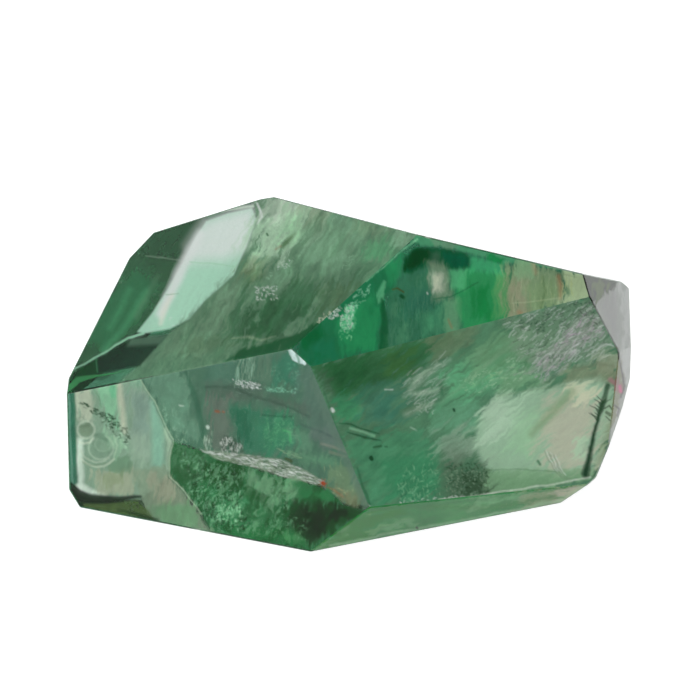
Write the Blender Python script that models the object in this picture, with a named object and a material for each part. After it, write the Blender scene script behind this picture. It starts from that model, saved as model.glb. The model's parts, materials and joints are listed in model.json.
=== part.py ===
"""A palm-size piece of green fluorite, hand-cut into flat facets and polished.

The stone is made the way a lapidary makes it. A plain block is ground flat on one side after
another until only the stone is left, and then every edge gets a light softening on the wheel.
Each flat is one row of FACETS: the heading it faces, how far it leans up or down, and how far
it lies from the middle of the block. The viewer stands on the -Y side, with +X to the right.
"""

import math

import bmesh
import bpy
from mathutils import Matrix, Vector

# The rough block that the stone is cut from, in metres.
BLOCK_LENGTH = 0.110
BLOCK_DEPTH = 0.090
BLOCK_HEIGHT = 0.070

# The softened edges: how wide the polished-over strip is, and how many flats it has.
EDGE_WIDTH = 0.00035
EDGE_STEPS = 2

# One row for each flat: name, heading, tilt, reach.
# Heading is in degrees round from the viewer: 0 faces -Y, 90 faces +X and 180 faces +Y.
# Tilt is in degrees above level, and below level where it is negative.
# Reach is in millimetres from the middle of the block, square to the flat.
FACETS = [
    ("resting_flat", 0, -90, 18.15),
    ("front_left", 340.5, 4.5, 24.05),
    ("front_right", 28, 21.5, 19.2),
    ("under_front_right", 20, -29.5, 27.6),
    ("upper_left", 277, 67.5, 13.3),
    ("upper_right", 28, 46.5, 17.8),
    ("right_end", 77.5, 29.5, 30.65),
    ("right_end_low", 68, 4.5, 34.0),
    ("right_foot", 77.5, -19.5, 36.6),
    ("right_toe", 63.5, -46.5, 33.85),
    ("left_shoulder", 261, 21, 33.05),
    ("left_end", 272, 1.5, 38.05),
    ("left_toe", 269.5, -31, 40.65),
    ("back_crest", 166.5, 29.5, 21.45),
    ("back_left_ridge", 216, 60, 21.75),
    ("back_slope", 149.5, 62.5, 15.5),
    ("back_wall", 162.5, 5.5, 26.15),
    ("back_corner", 190, 5, 31.0),
    ("back_under", 163.5, -48.5, 17.0),
    ("back_left_under", 230.5, -28.5, 31.65),
    ("right_back_corner", 120.5, 46.5, 27.55),
    ("right_back_end", 86.5, 0.5, 36.9),
    ("right_back_foot", 81.5, -15, 36.95),
]

MILLIMETRE = 0.001
STONE_COLOUR = (0.10, 0.38, 0.22, 1.0)


def clear_scene():
    """Remove whatever objects the open file holds."""
    for thing in list(bpy.data.objects):
        bpy.data.objects.remove(thing, do_unlink=True)


def facing(heading, tilt):
    """The outward direction of a flat, from its heading and tilt in degrees."""
    turn = math.radians(heading)
    lean = math.radians(tilt)
    level = math.cos(lean)
    return Vector((math.sin(turn) * level, -math.cos(turn) * level, math.sin(lean)))


def rough_block():
    """The block before grinding, with its middle at the origin."""
    mesh = bmesh.new()
    bmesh.ops.create_cube(mesh, size=1.0)
    size = Vector((BLOCK_LENGTH, BLOCK_DEPTH, BLOCK_HEIGHT))
    bmesh.ops.scale(mesh, vec=size, verts=mesh.verts)
    return mesh


def grind_flat(mesh, heading, tilt, reach):
    """Grind away all that stands out past one flat, and close the stone with that flat."""
    outward = facing(heading, tilt)
    everything = mesh.verts[:] + mesh.edges[:] + mesh.faces[:]
    cut = bmesh.ops.bisect_plane(
        mesh,
        geom=everything,
        dist=1e-7,
        plane_co=outward * reach * MILLIMETRE,
        plane_no=outward,
        clear_outer=True,
    )
    rim = [edge for edge in cut["geom_cut"] if isinstance(edge, bmesh.types.BMEdge)]
    bmesh.ops.contextual_create(mesh, geom=rim)


def soften_edges(mesh):
    """Round every edge slightly, as the last polish does."""
    bmesh.ops.bevel(
        mesh,
        geom=mesh.edges[:],
        offset=EDGE_WIDTH,
        offset_type="WIDTH",
        segments=EDGE_STEPS,
        profile=0.5,
        affect="EDGES",
        clamp_overlap=True,
    )


def stand_on_origin(mesh):
    """Move the stone so that the middle of its footprint's box is at the origin, base at z = 0."""
    low = Vector([min(vert.co[axis] for vert in mesh.verts) for axis in range(3)])
    high = Vector([max(vert.co[axis] for vert in mesh.verts) for axis in range(3)])
    middle = (low + high) / 2
    shift = Vector((-middle.x, -middle.y, -low.z))
    bmesh.ops.transform(mesh, matrix=Matrix.Translation(shift), verts=mesh.verts)


def fluorite():
    """Clear green polished fluorite."""
    material = bpy.data.materials.new("green_fluorite")
    material.use_nodes = True
    shader = material.node_tree.nodes["Principled BSDF"]
    shader.inputs["Base Color"].default_value = STONE_COLOUR
    shader.inputs["Roughness"].default_value = 0.05
    shader.inputs["Metallic"].default_value = 0.0
    shader.inputs["IOR"].default_value = 1.434
    shader.inputs["Transmission Weight"].default_value = 0.6
    return material


def make_stone():
    """Cut, polish and place the stone, and return its object."""
    mesh = rough_block()
    for name, heading, tilt, reach in FACETS:
        grind_flat(mesh, heading, tilt, reach)
    soften_edges(mesh)
    stand_on_origin(mesh)
    bmesh.ops.recalc_face_normals(mesh, faces=mesh.faces[:])
    data = bpy.data.meshes.new("stone")
    mesh.to_mesh(data)
    mesh.free()
    data.materials.append(fluorite())
    return bpy.data.objects.new("stone", data)


def main():
    clear_scene()
    parts = bpy.data.collections.new("polished_fluorite")
    bpy.context.scene.collection.children.link(parts)
    parts.objects.link(make_stone())


main()
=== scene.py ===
# %% [markdown]
# # A polished piece of green fluorite
#
# The real stone is one crystal of fluorite, cut by hand into flat facets and polished. Light goes
# in through one flat, is tinted green on its way, bounces off the back flats and comes out again.
# What stops it on the way is just as important: milky veils, healed cracks, bruises and specks of
# rust just under the polish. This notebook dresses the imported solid: first the studio, then the
# clear green body, and then everything that hangs inside it.

import json
import math

import bmesh
import bpy
import numpy as np
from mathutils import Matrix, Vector
from mathutils.bvhtree import BVHTree

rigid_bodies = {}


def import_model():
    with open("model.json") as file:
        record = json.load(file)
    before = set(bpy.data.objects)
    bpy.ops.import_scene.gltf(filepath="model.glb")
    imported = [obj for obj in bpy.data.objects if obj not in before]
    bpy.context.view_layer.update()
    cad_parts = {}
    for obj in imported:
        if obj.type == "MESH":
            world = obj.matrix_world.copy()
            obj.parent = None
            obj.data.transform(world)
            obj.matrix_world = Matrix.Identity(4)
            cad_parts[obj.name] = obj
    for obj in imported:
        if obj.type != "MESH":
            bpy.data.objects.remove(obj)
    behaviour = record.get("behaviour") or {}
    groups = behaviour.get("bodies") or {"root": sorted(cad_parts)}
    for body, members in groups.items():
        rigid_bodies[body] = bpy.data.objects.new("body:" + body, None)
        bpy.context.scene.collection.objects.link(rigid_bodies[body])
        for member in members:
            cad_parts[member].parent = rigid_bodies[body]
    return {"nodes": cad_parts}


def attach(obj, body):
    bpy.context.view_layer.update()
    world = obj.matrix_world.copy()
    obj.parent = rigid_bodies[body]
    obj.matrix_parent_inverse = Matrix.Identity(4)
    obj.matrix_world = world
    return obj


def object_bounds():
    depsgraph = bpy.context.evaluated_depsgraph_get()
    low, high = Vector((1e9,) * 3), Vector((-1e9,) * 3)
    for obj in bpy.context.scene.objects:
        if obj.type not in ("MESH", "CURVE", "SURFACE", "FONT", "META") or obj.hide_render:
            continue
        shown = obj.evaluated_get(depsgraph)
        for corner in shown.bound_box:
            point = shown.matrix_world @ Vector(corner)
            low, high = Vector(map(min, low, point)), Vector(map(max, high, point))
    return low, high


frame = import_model()
cad_low, cad_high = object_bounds()
stone = frame["nodes"]["stone"]
print("stone box, mm", [round(1000 * side, 1) for side in cad_high - cad_low])

# %% [markdown]
# ## The camera
#
# The photograph looks down on the stone at about 28 degrees with a long lens, so its parallel edges
# stay nearly parallel. The aim point is the middle of the picture, a little in front of the stone's
# middle.

# %% Set up the camera
VIEW_HEIGHT = math.radians(28.0)
VIEW_DISTANCE = 0.3355
LENS = 130.0
SENSOR = 36.0
PICTURE = 700
AIM = Vector((-0.00056, -0.00513, 0.01835))

to_viewer = Vector((0.0, -math.cos(VIEW_HEIGHT), math.sin(VIEW_HEIGHT)))
lens_data = bpy.data.cameras.new("camera")
lens_data.lens = LENS
lens_data.sensor_width = SENSOR
lens_data.clip_start = 0.01
lens_data.clip_end = 20.0
camera = bpy.data.objects.new("camera", lens_data)
camera.location = AIM + to_viewer * VIEW_DISTANCE
camera.rotation_euler = (-to_viewer).to_track_quat("-Z", "Y").to_euler()
bpy.context.scene.collection.objects.link(camera)
bpy.context.scene.camera = camera
bpy.context.view_layer.update()
print("camera at", [round(side, 3) for side in camera.location])

# %% [markdown]
# ## The studio
#
# Clear stones are photographed on a sheet of white card that is lit from below. The card does most
# of the work: its light comes up through the stone and takes on its green. One soft cloth at the
# upper left lights the veils from the front. The rest of the room is dim, because whatever a
# polished flat mirrors towards the camera lies over the stone as grey haze, and the cloth stands
# where no flat mirrors it.

# %% Build the studio
ROOM_LIGHT = 0.26
HORIZON_LIGHT = 0.40
CLOTH_LIGHT = 2.9
CLOTH_PLACE = Vector((-0.50, -0.45, 0.74)).normalized()
CLOTH_RIM = 0.50
CLOTH_CORE = 0.92
HORIZON_TOP = 0.35


def new_material(name):
    """An empty node material and its tree."""
    material = bpy.data.materials.new(name)
    material.use_nodes = True
    material.node_tree.nodes.clear()
    return material, material.node_tree


def add_node(tree, kind, **settings):
    """A node with some of its settings filled in."""
    made = tree.nodes.new(kind)
    for key, value in settings.items():
        setattr(made, key, value)
    return made


def set_sockets(node, values):
    """Fill in the values of some of a node's sockets."""
    for name, value in values.items():
        node.inputs[name].default_value = value


def studio_room():
    """A dim room, a little brighter low down, with one broad soft cloth at the upper left."""
    world = bpy.data.worlds.new("studio")
    bpy.context.scene.world = world
    world.use_nodes = True
    tree = world.node_tree
    tree.nodes.clear()
    where = add_node(tree, "ShaderNodeTexCoord")
    split = add_node(tree, "ShaderNodeSeparateXYZ")
    rise = add_node(tree, "ShaderNodeMapRange", interpolation_type="SMOOTHSTEP")
    set_sockets(rise, {
        "From Min": 0.0,
        "From Max": HORIZON_TOP,
        "To Min": HORIZON_LIGHT,
        "To Max": ROOM_LIGHT,
    })
    along = add_node(tree, "ShaderNodeVectorMath", operation="DOT_PRODUCT")
    along.inputs[1].default_value = CLOTH_PLACE
    cloth = add_node(tree, "ShaderNodeMapRange", interpolation_type="SMOOTHSTEP")
    set_sockets(cloth, {
        "From Min": CLOTH_RIM,
        "From Max": CLOTH_CORE,
        "To Min": 0.0,
        "To Max": CLOTH_LIGHT,
    })
    level = add_node(tree, "ShaderNodeMath", operation="ADD")
    back = add_node(tree, "ShaderNodeBackground")
    out = add_node(tree, "ShaderNodeOutputWorld")
    tree.links.new(where.outputs["Generated"], split.inputs[0])
    tree.links.new(split.outputs["Z"], rise.inputs["Value"])
    tree.links.new(where.outputs["Generated"], along.inputs[0])
    tree.links.new(along.outputs["Value"], cloth.inputs["Value"])
    tree.links.new(rise.outputs["Result"], level.inputs[0])
    tree.links.new(cloth.outputs["Result"], level.inputs[1])
    tree.links.new(level.outputs[0], back.inputs["Strength"])
    tree.links.new(back.outputs[0], out.inputs[0])


studio_room()
print("room lit, cloth at", [round(side, 2) for side in CLOTH_PLACE])

# %% Lay the card and set the light bounces
CARD_GREY = (0.25, 0.25, 0.25, 1.0)
CARD_GLOW = 0.93
CARD_SIZE = 6.0
CARD_DROP = 0.0002


def lit_card():
    """The white card that the stone lies on, glowing softly."""
    mesh = bmesh.new()
    bmesh.ops.create_grid(mesh, x_segments=1, y_segments=1, size=CARD_SIZE / 2)
    data = bpy.data.meshes.new("card")
    mesh.to_mesh(data)
    mesh.free()
    card = bpy.data.objects.new("card", data)
    bpy.context.scene.collection.objects.link(card)
    card.location.z = -CARD_DROP
    material, tree = new_material("white_card")
    shader = add_node(tree, "ShaderNodeBsdfPrincipled")
    set_sockets(shader, {
        "Base Color": CARD_GREY,
        "Roughness": 1.0,
        "Specular IOR Level": 0.0,
        "Emission Color": (1.0, 1.0, 1.0, 1.0),
        "Emission Strength": CARD_GLOW,
    })
    out = add_node(tree, "ShaderNodeOutputMaterial")
    tree.links.new(shader.outputs[0], out.inputs[0])
    data.materials.append(material)


lit_card()
bpy.context.scene.view_settings.view_transform = "Standard"
bpy.context.scene.view_settings.look = "None"
cycles = bpy.context.scene.cycles
cycles.max_bounces = 24
cycles.transmission_bounces = 20
cycles.glossy_bounces = 12
cycles.diffuse_bounces = 4
cycles.volume_bounces = 0
cycles.transparent_max_bounces = 32
print("card laid,", cycles.max_bounces, "bounces of light at most")

# %% [markdown]
# ## The clear green body
#
# Fluorite bends light less than glass does, with an index of 1.434. Its green is not a paint on the
# surface but a loss along the way: red fades fastest, then blue, and green is left. So the surface
# is clear, and a plain absorbing volume does the colouring. Thin corners stay pale and thick parts
# go deep. The polish is old and fine-scratched, so the flats mirror only half of what a fresh
# polish would.

# %% The body of the stone
REFRACTION = 1.434
BODY_GREEN = (0.09, 0.60, 0.38, 1.0)
BODY_DENSITY = 100.0
POLISH_ROUGHNESS = 0.01
OLD_POLISH = 0.5
SURFACE_TINT = (0.98, 1.0, 0.99, 1.0)


def clear_fluorite():
    """See-through green fluorite: transmission at the surface, absorption inside."""
    material, tree = new_material("clear_fluorite")
    shader = add_node(tree, "ShaderNodeBsdfPrincipled")
    set_sockets(shader, {
        "Base Color": SURFACE_TINT,
        "Roughness": POLISH_ROUGHNESS,
        "IOR": REFRACTION,
        "Transmission Weight": 1.0,
        "Specular Tint": (OLD_POLISH, OLD_POLISH, OLD_POLISH, 1.0),
    })
    absorb = add_node(tree, "ShaderNodeVolumeAbsorption")
    set_sockets(absorb, {
        "Color": BODY_GREEN,
        "Density": BODY_DENSITY,
    })
    out = add_node(tree, "ShaderNodeOutputMaterial")
    tree.links.new(shader.outputs[0], out.inputs["Surface"])
    tree.links.new(absorb.outputs[0], out.inputs["Volume"])
    return material


stone.data.materials.clear()
stone.data.materials.append(clear_fluorite())
print("body:", stone.data.materials[0].name)

# %% [markdown]
# ## The flats of the stone
#
# Everything that hangs in this stone hangs under one of its flats, so the flats come first. They
# are read off the solid: faces that share a plane are one flat, and the narrow ones are the rounded
# edges.

# %% Find the flats
EDGE_STRIP = 0.0006
SAME_WAY = 3


def find_flats(mesh):
    """The flats of the solid: normal, offset, middle, area and corner points of each."""
    groups = {}
    for face in mesh.polygons:
        key = tuple(round(side, SAME_WAY) for side in face.normal)
        groups.setdefault(key, []).append(face)
    found = []
    for faces in groups.values():
        area = sum(face.area for face in faces)
        corners = np.array([mesh.vertices[i].co for face in faces for i in face.vertices])
        span = np.linalg.norm(corners.max(axis=0) - corners.min(axis=0))
        if area / span < EDGE_STRIP:
            continue
        normal = np.array(faces[0].normal)
        middle = sum(np.array(face.center) * face.area for face in faces) / area
        found.append({
            "normal": normal,
            "offset": float(normal @ middle),
            "middle": middle,
            "area": area,
            "corners": corners,
        })
    return found


flats = find_flats(stone.data)
surface = BVHTree.FromPolygons(
    [vert.co.copy() for vert in stone.data.vertices],
    [tuple(face.vertices) for face in stone.data.polygons],
)
print(len(flats), "flats, the largest", round(1e6 * max(flat["area"] for flat in flats)), "mm2")

# %% [markdown]
# ## Looking into the stone
#
# What hangs inside a stone is seen bent by the flat in front of it. To hang a veil where the
# photograph shows it, a line is drawn from the camera through a point of the picture, bent at the
# flat as light is, and followed down to the wanted depth. The points are in the photograph's own
# 700 by 700 frame.

# %% Lines of sight into the stone
camera_place = np.array(camera.location)
camera_turn = np.array(camera.matrix_world.to_3x3())


def sight_lines(points):
    """Unit directions from the camera through picture points, one row each."""
    focal = LENS / SENSOR * PICTURE
    right = points[:, 0] - PICTURE / 2
    up = PICTURE / 2 - points[:, 1]
    local = np.stack([right, up, np.full(len(points), -focal)], axis=1)
    lines = local @ camera_turn.T
    return lines / np.linalg.norm(lines, axis=1)[:, None]


def flat_at(x, y):
    """The flat that shows at a picture point."""
    line = Vector(sight_lines(np.array([[x, y]], float))[0])
    _, normal, _, _ = surface.ray_cast(camera.location, line)
    return max(flats, key=lambda flat: float(flat["normal"] @ np.array(normal)))


def seen_at(flat, points, depth):
    """Places under a flat, at a depth in metres, that show at the given picture points."""
    normal = flat["normal"]
    lines = sight_lines(points)
    reach = (flat["offset"] - camera_place @ normal) / (lines @ normal)
    entry = camera_place + lines * reach[:, None]
    facing = -(lines @ normal)
    bend = 1.0 / REFRACTION
    inner_cos = np.sqrt(1.0 - bend**2 * (1.0 - facing**2))
    inner = bend * lines + (bend * facing - inner_cos)[:, None] * normal
    return entry + inner * (depth / inner_cos)[:, None]


# One picture point on every flat that the photograph shows well.
PROBES = {
    "upper_left": (250, 290),
    "upper_right": (450, 300),
    "front_left": (180, 430),
    "front_right": (460, 400),
    "foot": (460, 509),
    "end": (610, 310),
    "end_low": (624, 380),
}
for name, probe in PROBES.items():
    print(name, "faces", flat_at(*probe)["normal"].round(2).tolist())

# %% [markdown]
# ## A sheet to paint veils on
#
# A veil is a film of tiny bubbles, a healed crack or a smear of fine dust. The real ones are soft
# and broken, so each flat gets one fine sheet, hung a quarter of a millimetre under the polish.
# Every point of the sheet holds a colour and a cover, from 0 for clear to 1 for solid, and brushes
# fill them in. The sheets meet under the stone's edges, so no bare frame is left round a flat.

# %% What shows on each flat
# For each flat: how much light a white sheet under it sends back, and the grey that its polish
# mirrors over it.
SHOWN = {
    "upper_left": (0.64, 0.005),
    "upper_right": (0.58, 0.005),
    "front_left": (0.75, 0.019),
    "front_right": (0.55, 0.006),
    "foot": (0.52, 0.115),
    "end": (0.47, 0.130),
    "side": (0.62, 0.005),
}
print(len(SHOWN), "kinds of flat")

# %% Colours, easy curves and clouds
GRAIN_TABLE = 64
OCTAVE_SCALE = 2.1
OCTAVE_WEIGHT = 0.6


def rgb(red, green, blue):
    """A linear colour from the usual 0 to 255 screen values."""
    screen = np.array([red, green, blue]) / 255.0
    return np.where(screen < 0.04045, screen / 12.92, ((screen + 0.055) / 1.055) ** 2.4)


def smooth(low, high, value):
    """0 below low, 1 above high, and an easy curve between."""
    share = np.clip((value - low) / (high - low), 0, 1)
    return share * share * (3 - 2 * share)


def cloud(x, y, size, seed, turn=0.0, stretch=1.0, octaves=4):
    """Soft random clouds from 0 to 1, size points across, drawn out along a direction in degrees."""
    source = np.random.default_rng(seed)
    angle = math.radians(turn)
    along = (x * math.cos(angle) - y * math.sin(angle)) / (size * stretch)
    across = (x * math.sin(angle) + y * math.cos(angle)) / size
    total = np.zeros_like(along)
    weight = 1.0
    weights = 0.0
    for _ in range(octaves):
        table = source.random((GRAIN_TABLE, GRAIN_TABLE))
        u = along + 100.0 * source.random()
        v = across + 100.0 * source.random()
        left = np.floor(u).astype(int)
        top = np.floor(v).astype(int)
        fu = smooth(0, 1, u - left)
        fv = smooth(0, 1, v - top)
        corner = [
            table[(left + i) % GRAIN_TABLE, (top + j) % GRAIN_TABLE]
            for i in (0, 1) for j in (0, 1)
        ]
        first = corner[0] * (1 - fv) + corner[1] * fv
        second = corner[2] * (1 - fv) + corner[3] * fv
        total += weight * (first * (1 - fu) + second * fu)
        weights += weight
        weight *= OCTAVE_WEIGHT
        along = along * OCTAVE_SCALE
        across = across * OCTAVE_SCALE
    return total / weights


def along_line(x, y, start, end):
    """How far along a line each point lies, from 0 to 1, and how far from the line it is."""
    side = np.subtract(end, start).astype(float)
    share = ((x - start[0]) * side[0] + (y - start[1]) * side[1]) / (side @ side)
    share = np.clip(share, 0, 1)
    return share, np.hypot(x - start[0] - share * side[0], y - start[1] - share * side[1])


def distance_inside(x, y, outline):
    """How far each point lies inside an outline, in points, and negative outside it."""
    outline = np.asarray(outline, float)
    nearest = np.full(x.shape, 1e9)
    inside = np.zeros(x.shape, bool)
    for start, end in zip(outline, np.roll(outline, -1, axis=0)):
        side = end - start
        nearest = np.minimum(nearest, along_line(x, y, start, end)[1])
        rise = side[1] if side[1] != 0 else 1e-9
        crosses = (start[1] > y) != (end[1] > y)
        inside ^= crosses & (x < start[0] + (y - start[1]) / rise * side[0])
    return np.where(inside, nearest, -nearest)


print("a cloud is", cloud(np.zeros((1, 1)), np.zeros((1, 1)), 10.0, 1).round(2), "at its middle")

# %% A bare sheet and how paint is laid on it
FINE_STEP = 0.9
WANDER = 9.0
WANDER_SIZE = 16.0
FIBRE_SIZE = 2.6
FIBRE_STRETCH = 7.0
DUST_SIZE = 2.4
THINNEST_PAINT = 0.002
THICKEST_PAINT = 0.92


class BareSheet:
    """A fine grid over one flat, with a colour and a cover at every point."""

    def __init__(self, low, high, step, shown, grain, seed):
        self.step = step
        self.low = np.array(low, float)
        xs = np.arange(low[0], high[0] + step, step)
        ys = np.arange(low[1], high[1] + step, step)
        self.x, self.y = np.meshgrid(xs, ys)
        self.tint = np.zeros(self.x.shape + (3,))
        self.cover = np.zeros(self.x.shape)
        self.light, self.haze = SHOWN[shown]
        self.grain = grain
        self.seed = seed
        self.wave_x = self.x + WANDER * (cloud(self.x, self.y, WANDER_SIZE, seed + 1) - 0.5)
        self.wave_y = self.y + WANDER * (cloud(self.x, self.y, WANDER_SIZE, seed + 2) - 0.5)
        self.fibres = cloud(self.wave_x, self.wave_y, FIBRE_SIZE, seed + 3, grain, FIBRE_STRETCH, 3)
        self.dust = cloud(self.x, self.y, DUST_SIZE, seed + 4, 0.0, 1.0, 2)

    def wandered(self, part, wave):
        """The points of part of the grid, moved by a share of the sheet's wander."""
        x = self.x[part] + wave * (self.wave_x[part] - self.x[part])
        y = self.y[part] + wave * (self.wave_y[part] - self.y[part])
        return x, y

    def window(self, points, reach):
        """The part of the grid within reach of some points."""
        points = np.asarray(points, float)[:, :2]
        low = np.floor((points.min(axis=0) - reach - self.low) / self.step).astype(int)
        high = np.ceil((points.max(axis=0) + reach - self.low) / self.step).astype(int) + 1
        rows, columns = self.cover.shape
        return (slice(max(low[1], 0), min(max(high[1], 0), rows)),
                slice(max(low[0], 0), min(max(high[0], 0), columns)))

    def lay(self, part, colour, share, rough=0.0):
        """Lay a colour on part of the sheet. rough breaks it up along the grain."""
        if share.size == 0:
            return
        if rough > 0:
            broken = smooth(0.35, 0.65, 0.65 * self.fibres[part] + 0.35 * self.dust[part])
            share = share * (1 - rough * broken)
        old = self.cover[part]
        new = share + old * (1 - share)
        weight = np.divide(share, new, out=np.zeros_like(share), where=new > 1e-6)
        paint = (colour - self.haze) / self.light
        paint = np.clip(paint, THINNEST_PAINT, THICKEST_PAINT)
        self.tint[part] += (paint - self.tint[part]) * weight[..., None]
        self.cover[part] = new

    def tell(self, news):
        """Print what was just painted, and the sheet's mean cover."""
        print(news + ", mean cover", round(float(self.cover.mean()), 2))


print("one point of a fine sheet is", FINE_STEP, "of a picture point")

# %% Brushes for patches, lines and rings
RAGGED = 2.6
PATCH_MARGIN = 6.0
STROKE_MARGIN = 4.0
RING_WANDER = 0.12


class BrushedSheet(BareSheet):
    """A sheet with brushes for outlines and lines."""

    def patch(self, outline, colour, cover, soft=3.0, rough=0.3, wave=1.0):
        """A zone with an outline. wave 1 makes its edge wander, 0 keeps it straight."""
        part = self.window(outline, soft + PATCH_MARGIN)
        x, y = self.wandered(part, wave)
        ragged = wave * soft * RAGGED * (2 * self.fibres[part] - 1)
        share = smooth(-soft, soft, distance_inside(x, y, outline) + ragged)
        self.lay(part, colour, share * cover, rough)

    def stroke(self, points, width, colour, cover, soft=1.0, rough=0.0, wave=0.3):
        """A line drawn through points. Its width may change from point to point."""
        widths = np.broadcast_to(np.asarray(width, float), (len(points),))
        part = self.window(points, widths.max() / 2 + soft + STROKE_MARGIN)
        x, y = self.wandered(part, wave)
        best = np.full(x.shape, -1e9)
        for (start, end, first, last) in zip(points[:-1], points[1:], widths[:-1], widths[1:]):
            share, gap = along_line(x, y, start, end)
            best = np.maximum(best, (first + (last - first) * share) / 2 - gap)
        self.lay(part, colour, smooth(-soft, soft, best) * cover, rough)

    def ring(self, middle, radius, width, colour, cover, soft=1.0, squash=1.0):
        """A round line. squash below 1 flattens it."""
        part = self.window([middle], radius + width + soft)
        x, y = self.wandered(part, RING_WANDER)
        gap = np.hypot(x - middle[0], (y - middle[1]) / squash)
        self.lay(part, colour, smooth(-soft, soft, width / 2 - np.abs(gap - radius)) * cover)


print("brushes for patches, lines and rings ready")

# %% Drifting clouds, flecks and mottling
# Every fleck draws its own length, cover and width: at least the first share of what is asked, and up
# to the second share more.
FLECK_LENGTH = (0.4, 0.9)
FLECK_COVER = (0.30, 0.50)
FLECK_WIDTH = (0.60, 0.40)
FLECK_BEND = 0.25
SEED_STEP = 11
MOTTLE_DEPTH = 2.2


class Sheet(BrushedSheet):
    """A sheet with everything that lies in clouds or comes in numbers."""

    def drift(self, colour, cover, size, low, high, turn, stretch, outline=None, soft=6.0):
        """Clouds of a colour, over the whole sheet or inside an outline."""
        self.seed += SEED_STEP
        field = smooth(low, high, cloud(self.wave_x, self.wave_y, size, self.seed, turn, stretch, 5))
        if outline is not None:
            field = field * smooth(-soft, soft, distance_inside(self.wave_x, self.wave_y, outline))
        self.lay((slice(None), slice(None)), colour, field * cover)

    def flecks(self, outline, count, length, width, colour, cover, turn=0.0, spread=20.0, soft=0.6):
        """Many short strokes at random places inside an outline."""
        self.seed += SEED_STEP
        source = np.random.default_rng(self.seed)
        outline = np.asarray(outline, float)
        low = outline.min(axis=0)
        high = outline.max(axis=0)
        made = 0
        while made < count:
            place = low + (high - low) * source.random(2)
            reach = length * (FLECK_LENGTH[0] + FLECK_LENGTH[1] * source.random())
            angle = math.radians(turn + spread * (2 * source.random() - 1))
            strong = cover * (FLECK_COVER[0] + FLECK_COVER[1] * source.random())
            thick = width * (FLECK_WIDTH[0] + FLECK_WIDTH[1] * source.random())
            made += 1
            if distance_inside(place[0:1], place[1:2], outline)[0] < 0:
                continue
            half = np.array([math.cos(angle), -math.sin(angle)]) * reach / 2
            bend = np.array([half[1], -half[0]]) * FLECK_BEND * (2 * source.random() - 1)
            line = [place - half, place + bend, place + half]
            self.stroke(line, thick, colour, strong, soft, 0.0, 0.0)

    def patches(self, rows, wave=1.0):
        """Zones from rows of name, outline, colour, cover, softness and roughness."""
        for _, outline, colour, cover, soft, rough in rows:
            self.patch(outline, colour, cover, soft, rough, wave)

    def strokes(self, rows, wave=0.3):
        """Lines from rows of name, points, width, colour, cover, softness and roughness."""
        for _, points, width, colour, cover, soft, rough in rows:
            self.stroke(points, width, colour, cover, soft, rough, wave)

    def sprinkle(self, rows, soft=0.6):
        """Flecks from rows of name, outline, count, length, width, colour, cover, turn and spread."""
        for _, outline, count, length, width, colour, cover, turn, spread in rows:
            self.flecks(outline, count, length, width, colour, cover, turn, spread, soft)

    def mottle(self, amount, size, turn=None, stretch=3.0, outline=None, soft=6.0):
        """Make the paint lighter and darker in clouds, everywhere or inside an outline."""
        self.seed += SEED_STEP
        turn = self.grain if turn is None else turn
        field = 2 * cloud(self.wave_x, self.wave_y, size, self.seed, turn, stretch, 4) - 1
        if outline is not None:
            field = field * smooth(-soft, soft, distance_inside(self.wave_x, self.wave_y, outline))
        self.tint *= (1 + amount * MOTTLE_DEPTH * field)[..., None].clip(0.2, 3)


print("brushes for clouds and flecks ready")

# %% [markdown]
# ## The film that veils are made of
#
# Up close a veil is bubbles and dust, so its material takes the painted colour and cover and breaks
# both up with a noise finer than the sheet's grid.

# %% Veil material
GRIT_SCALE = 3800.0
GRIT_TWIST = 1.5
GRIT_LIGHT = (0.975, 1.025)


def veil_material():
    """Matt film: painted colour and cover, with fine grain over both."""
    material, tree = new_material("veil_film")
    tint = add_node(tree, "ShaderNodeAttribute", attribute_name="tint")
    cover = add_node(tree, "ShaderNodeAttribute", attribute_name="cover")
    where = add_node(tree, "ShaderNodeTexCoord")
    grit = add_node(tree, "ShaderNodeTexNoise")
    set_sockets(grit, {
        "Scale": GRIT_SCALE,
        "Detail": 3.0,
        "Roughness": 0.6,
        "Distortion": GRIT_TWIST,
    })
    tree.links.new(where.outputs["Object"], grit.inputs["Vector"])
    bright = add_node(tree, "ShaderNodeMapRange")
    set_sockets(bright, {
        "From Min": 0.3,
        "From Max": 0.7,
        "To Min": GRIT_LIGHT[0],
        "To Max": GRIT_LIGHT[1],
    })
    tree.links.new(grit.outputs["Fac"], bright.inputs["Value"])
    coloured = add_node(tree, "ShaderNodeVectorMath", operation="SCALE")
    tree.links.new(tint.outputs["Color"], coloured.inputs[0])
    tree.links.new(bright.outputs[0], coloured.inputs["Scale"])
    hold = add_node(tree, "ShaderNodeMath", operation="MULTIPLY", use_clamp=True)
    tree.links.new(cover.outputs["Fac"], hold.inputs[0])
    tree.links.new(bright.outputs[0], hold.inputs[1])
    shader = add_node(tree, "ShaderNodeBsdfPrincipled")
    set_sockets(shader, {
        "Roughness": 0.75,
        "Specular IOR Level": 0.0,
    })
    tree.links.new(coloured.outputs[0], shader.inputs["Base Color"])
    tree.links.new(hold.outputs[0], shader.inputs["Alpha"])
    out = add_node(tree, "ShaderNodeOutputMaterial")
    tree.links.new(shader.outputs[0], out.inputs["Surface"])
    return material


veil_film = veil_material()
print("film:", veil_film.name)

# %% [markdown]
# ## Hanging a sheet in the stone
#
# A painted sheet becomes a mesh: one small face between every four points, with the paint kept as a
# tint and a cover on each point. Then it is cut along the sheets under the neighbouring flats, as
# the planes of the stone cut each other, so the sheets meet under the edges and nothing stands out
# of the stone.

# %% Turn a sheet into a film
VEIL_DEPTH = 0.00024
TRIM_SLACK = 0.0002
TOUCH = 1e-7


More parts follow.
